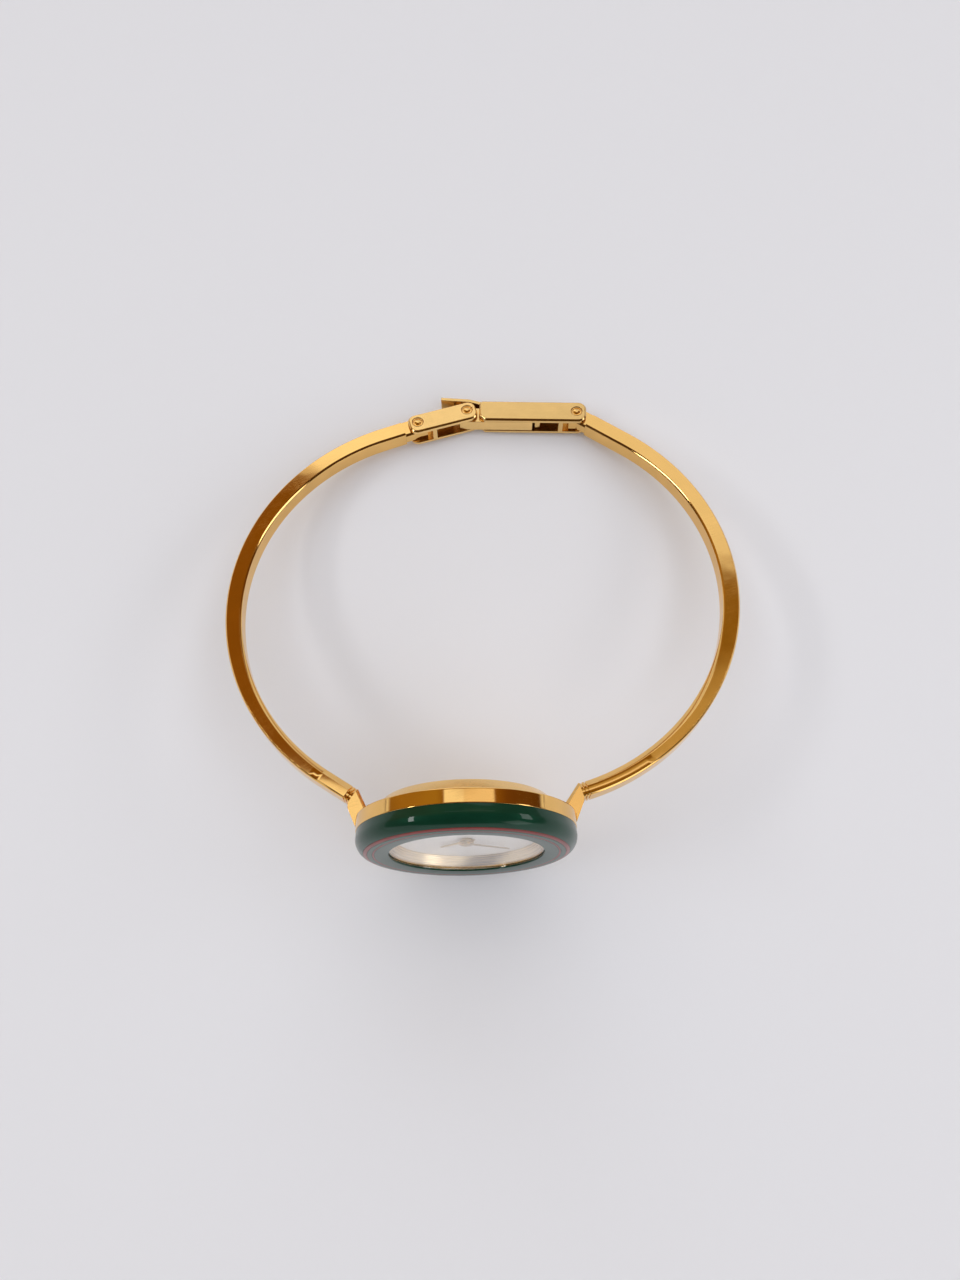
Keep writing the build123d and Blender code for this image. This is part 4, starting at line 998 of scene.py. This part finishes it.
# Half a clasp pin from its middle out, as radius, height and corner radius: a shank, and a
# head with a ringed groove round a low dome
HALF_PIN = (
    (0.5, 1.3), (0.72, 1.32, 0.02), (0.72, 1.45, 0.04), (0.61, 1.45, 0.03), (0.57, 1.33, 0.02),
    (0.46, 1.33, 0.02), (0.42, 1.41, 0.05), (0.2, 1.49, 0.1), (0, 1.5),
)
# How much darker the cover's brushed gold is drawn than the link's: painted shade on a copy of the same plate
COVER_PAINTED_SHADE = 0.88


class WATCH_OT_clasp(bpy.types.Operator):
    """Dresses the cover, link and leaf of the clasp, and turns the heads of its pins"""

    bl_idname = "watch.clasp"
    bl_label = "Clasp"

    def execute(self, context):
        edge = context.scene.watch_look.clasp_edge / MM
        brushed = context.scene.watch_look.brushed_gold
        left, middle, right = (hinge_place(j) for j in ("link_hinge", "leaf_hinge", "cover_hinge"))
        ways = {"link": middle - left, "cover": right - middle, "leaf": right - middle}
        for body, way in ways.items():
            heading = math.degrees(math.atan2(way.y, way.x))
            # Painted shade: the cover's plate colour is darkened by this factor
            colour = shade(brushed, COVER_PAINTED_SHADE) if body == "cover" else brushed
            finish = brushed_gold("brushed gold " + body, colour, heading, left)
            piece = dressed("clasp_" + body, body + "_plate", finish, edge, 3)
            settle(piece, body, "brushed_gold", "clasp_" + body)
        under = [(radius, -height, *corner) for radius, height, *corner in reversed(HALF_PIN)]
        for node, place, body in (
            ("pin_arm_link", left, "link"), ("pin_link_leaf", middle, "link"),
            ("pin_cover", right, "cover"),
        ):
            spot = FLAT @ Matrix.Translation(place * MM) @ Matrix.Rotation(math.pi / 2, 4, "X")
            profile = [*HALF_PIN, *under]
            pin = turned(node + "_turned", profile, FINISHES["polished_gold"], spot, 64)
            settle(pin, body, "polished_gold", node)
        return {"FINISHED"}


# The photograph's camera, in the flat frame: it looks at the middle of the head from a known
# distance, with the head off the middle of the picture
LOOK_AT = Vector((0, 0.65, 0))
PITCH = 25.7
ROLL = -1.5
DISTANCE = 106.8
FOCAL_PIXELS = 940
HEAD_PIXEL = (466.3, 827.5)
PICTURE = (960, 1280)


SENSOR = 36


def make_camera():
    pitch, roll = math.radians(PITCH), math.radians(ROLL)
    facing = Matrix((
        (1, 0, 0),
        (0, -math.cos(pitch), -math.sin(pitch)),
        (0, math.sin(pitch), -math.cos(pitch)),
    ))
    facing = Matrix.Rotation(roll, 3, "Z") @ facing
    head = Vector((
        (HEAD_PIXEL[0] - PICTURE[0] / 2) / FOCAL_PIXELS * DISTANCE,
        (HEAD_PIXEL[1] - PICTURE[1] / 2) / FOCAL_PIXELS * DISTANCE,
        DISTANCE,
    ))
    place = LOOK_AT - facing.transposed() @ head
    axes = facing.transposed() @ Matrix.Diagonal((1, -1, -1))
    camera = link_piece("camera", bpy.data.cameras.new("camera"))
    camera.matrix_world = FLAT @ Matrix.Translation(place * MM) @ axes.to_4x4()
    camera.data.sensor_width = SENSOR
    camera.data.lens = FOCAL_PIXELS / PICTURE[1] * SENSOR
    camera.data.clip_start = 0.001
    bpy.context.scene.camera = camera


# Each lamp: how many degrees it stands to the right of and behind straight up, its distance
# and size in metres, the setting that gives its glow and how many times that it glows, whether
# the watch mirrors it, and its colour. A glow of 1 is as bright as white paper
LAMPS = {
    "ceiling": (0, 14, 0.8, (1.4, 1.4), "key", 1, False, "#F0F7FF"),
    "fill": (40, -42, 1.4, (1.4, 1.4), "fill", 1, False, "#F4F8FF"),
    "front_card": (56, -57, 0.5, (0.2, 0.16), "cards", 0.4, True, "#FFFFFF"),
    "right_card": (61, 0, 0.5, (0.25, 0.105), "cards", 1, True, "#FFFFFF"),
    "left_card": (-53, -7, 0.5, (0.24, 0.05), "cards", 3, True, "#FFFFFF"),
}


def make_lamps(look):
    for name, (side, back, distance, size, setting, times, mirrored, colour) in LAMPS.items():
        lamp = bpy.data.lights.new(name, "AREA")
        lamp.shape = "RECTANGLE"
        lamp.size, lamp.size_y = size
        lamp.energy = getattr(look, setting) * times * math.pi * size[0] * size[1]
        lamp.color = linear(colour)[:3]
        holder = link_piece(name, lamp)
        way = Vector((math.tan(math.radians(side)), math.tan(math.radians(back)), 1)).normalized()
        holder.location = way * distance
        holder.rotation_euler = (-way).to_track_quat("-Z", "Y").to_euler()
        holder.visible_glossy = mirrored


# The room's colours from its left side to its right side, by the direction's x
ROOM = (
    (-1.0, "#9F7831"), (-0.46, "#A38131"), (-0.28, "#865A19"), (-0.1, "#805619"),
    (0.24, "#8D6B21"), (0.5, "#885E1B"), (0.66, "#704818"), (1.0, "#5F3E14"),
)
CEILING = "#4C381F"
HORIZON = "#E6E6E8"
HAZE = (0.52, 0.4, 0.2, 1)
# The window's glow to the left and right of its bar, and the wall's at its left and right end
WINDOW_GLOW = ((1.12, 1.12, 1.12), (1.0, 0.9, 0.81))
WALL_GLOW = ((1.3, 1.3, 1.3), (0.93, 0.93, 0.93))
WALL_FLARE = 1.3
WALL_SLANT = 0.216
FRONT_HORIZON = 0.34


def glowing(colour, glow):
    return (*(part * glow for part in colour), 1)


def lay_over(tree, under, over, *fades):
    """Lays a colour over another. Each fade is a value of the direction with two bounds: the
    colour is absent at the first and full at the second."""
    share = 1
    for value, absent, full in fades:
        part = add_node(tree, "ShaderNodeMapRange", {"Value": value, 1: absent, 2: full})
        share = add_node(tree, "ShaderNodeMath", {0: part, 1: share}, operation="MULTIPLY")
    return add_node(tree, "ShaderNodeMix", {0: share, 6: under, 7: over}, data_type="RGBA")


def make_sky(look):
    """The light from all round: a dim warm room over a pale horizon, with a window overhead
    and one bright wall behind the watch that fades out to both sides."""
    world = bpy.data.worlds.new("studio")
    bpy.context.scene.world = world
    world.use_nodes = True
    tree = world.node_tree
    tree.nodes.clear()
    way = add_node(tree, "ShaderNodeTexCoord").outputs["Generated"]
    x, y, z = add_node(tree, "ShaderNodeSeparateXYZ", {0: way}).outputs
    across = add_node(tree, "ShaderNodeMapRange", {"Value": x, 1: -1, 2: 1})
    room = add_node(tree, "ShaderNodeValToRGB", {0: across})
    for i, (where, code) in enumerate(ROOM):
        stop = room.color_ramp.elements[i] if i < 2 else room.color_ramp.elements.new(1)
        stop.position = (where + 1) / 2
        stop.color = linear(code)
    room = lay_over(tree, linear(CEILING), room, (y, 0.05, 0.35))
    room = lay_over(
        tree, room, HAZE, (x, -0.03, 0.07), (x, 0.41, 0.31), (y, 0.44, 0.48), (y, 0.58, 0.54)
    )
    panes = (glowing(colour, look.window) for colour in WINDOW_GLOW)
    panes = lay_over(tree, *panes, (x, -0.03, 0))
    room = lay_over(
        tree, room, panes, (x, -0.355, -0.325), (x, 0.495, 0.465), (y, 0.416, 0.424),
        (y, 0.488, 0.48),
    )
    ends = (glowing(colour, look.wall) for colour in WALL_GLOW)
    wall = lay_over(tree, *ends, (x, -0.18, 0.08))
    flared = work_out(tree, x, "ABSOLUTE", 0, "MULTIPLY", -WALL_FLARE, "ADD", y)
    slanted = work_out(tree, x, "MULTIPLY", WALL_SLANT, "ADD", y)
    room = lay_over(tree, room, wall, (flared, 0, 0.2), (slanted, 0.692, 0.704))
    lift = {"Value": y, 1: -0.6, 2: -0.3, 3: FRONT_HORIZON, 4: 0}
    height = work_out(tree, z, "SUBTRACT", add_node(tree, "ShaderNodeMapRange", lift))
    whole = lay_over(tree, linear(HORIZON), room, (height, 0.02, 0.08))
    glow = add_node(tree, "ShaderNodeBackground", {"Color": whole, "Strength": look.sky})
    add_node(tree, "ShaderNodeOutputWorld", {"Surface": glow})


FLOOR_REACH = 1.5
FLOOR_DROP = 2e-5


class WATCH_OT_stage(bpy.types.Operator):
    """Sets the floor, the soft lights and the camera"""

    bl_idname = "watch.stage"
    bl_label = "Stage"

    def execute(self, context):
        look = context.scene.watch_stage
        mesh = bpy.data.meshes.new("floor")
        signs = ((-1, -1), (1, -1), (1, 1), (-1, 1))
        corners = [(x * FLOOR_REACH, y * FLOOR_REACH, -FLOOR_DROP) for x, y in signs]
        mesh.from_pydata(corners, [], [(0, 1, 2, 3)])
        material, tree, shader = new_finish("matt paper", look.floor, 0.9)
        place = add_node(tree, "ShaderNodeTexCoord").outputs["Object"]
        raise_grain(tree, shader, cloud(tree, 900, 3, place), 0.01, 0.3)
        mesh.materials.append(material)
        link_piece("floor", mesh)
        make_lamps(look)
        make_sky(look)
        make_camera()
        context.scene.view_settings.view_transform = "Standard"
        return {"FINISHED"}


OPERATORS = (
    WATCH_OT_finishes, WATCH_OT_case, WATCH_OT_ring, WATCH_OT_hands, WATCH_OT_crown, WATCH_OT_arms,
    WATCH_OT_clasp, WATCH_OT_stage,
)


class WATCH_PT_sidebar(bpy.types.Panel):
    """Lists the steps that build the watch"""

    bl_idname = "WATCH_PT_sidebar"
    bl_label = "Bangle watch"
    bl_space_type = "VIEW_3D"
    bl_region_type = "UI"
    bl_category = "Bangle watch"

    def draw(self, context):
        for operator in OPERATORS:
            self.layout.operator(operator.bl_idname)
        for group in (context.scene.watch_look, context.scene.watch_stage):
            for name in group.bl_rna.properties.keys():
                if name not in ("rna_type", "name"):
                    self.layout.prop(group, name)


CLASSES = (WatchLook, WatchStage, *OPERATORS, WATCH_PT_sidebar)


def register():
    for cls in CLASSES:
        bpy.utils.register_class(cls)
    bpy.types.Scene.watch_look = PointerProperty(type=WatchLook)
    bpy.types.Scene.watch_stage = PointerProperty(type=WatchStage)


def unregister():
    del bpy.types.Scene.watch_stage
    del bpy.types.Scene.watch_look
    for cls in reversed(CLASSES):
        bpy.utils.unregister_class(cls)


def main():
    register()
    for step in ("finishes", "case", "ring", "hands", "crown", "arms", "clasp", "stage"):
        getattr(bpy.ops.watch, step)()


if __name__ == "__main__":
    main()
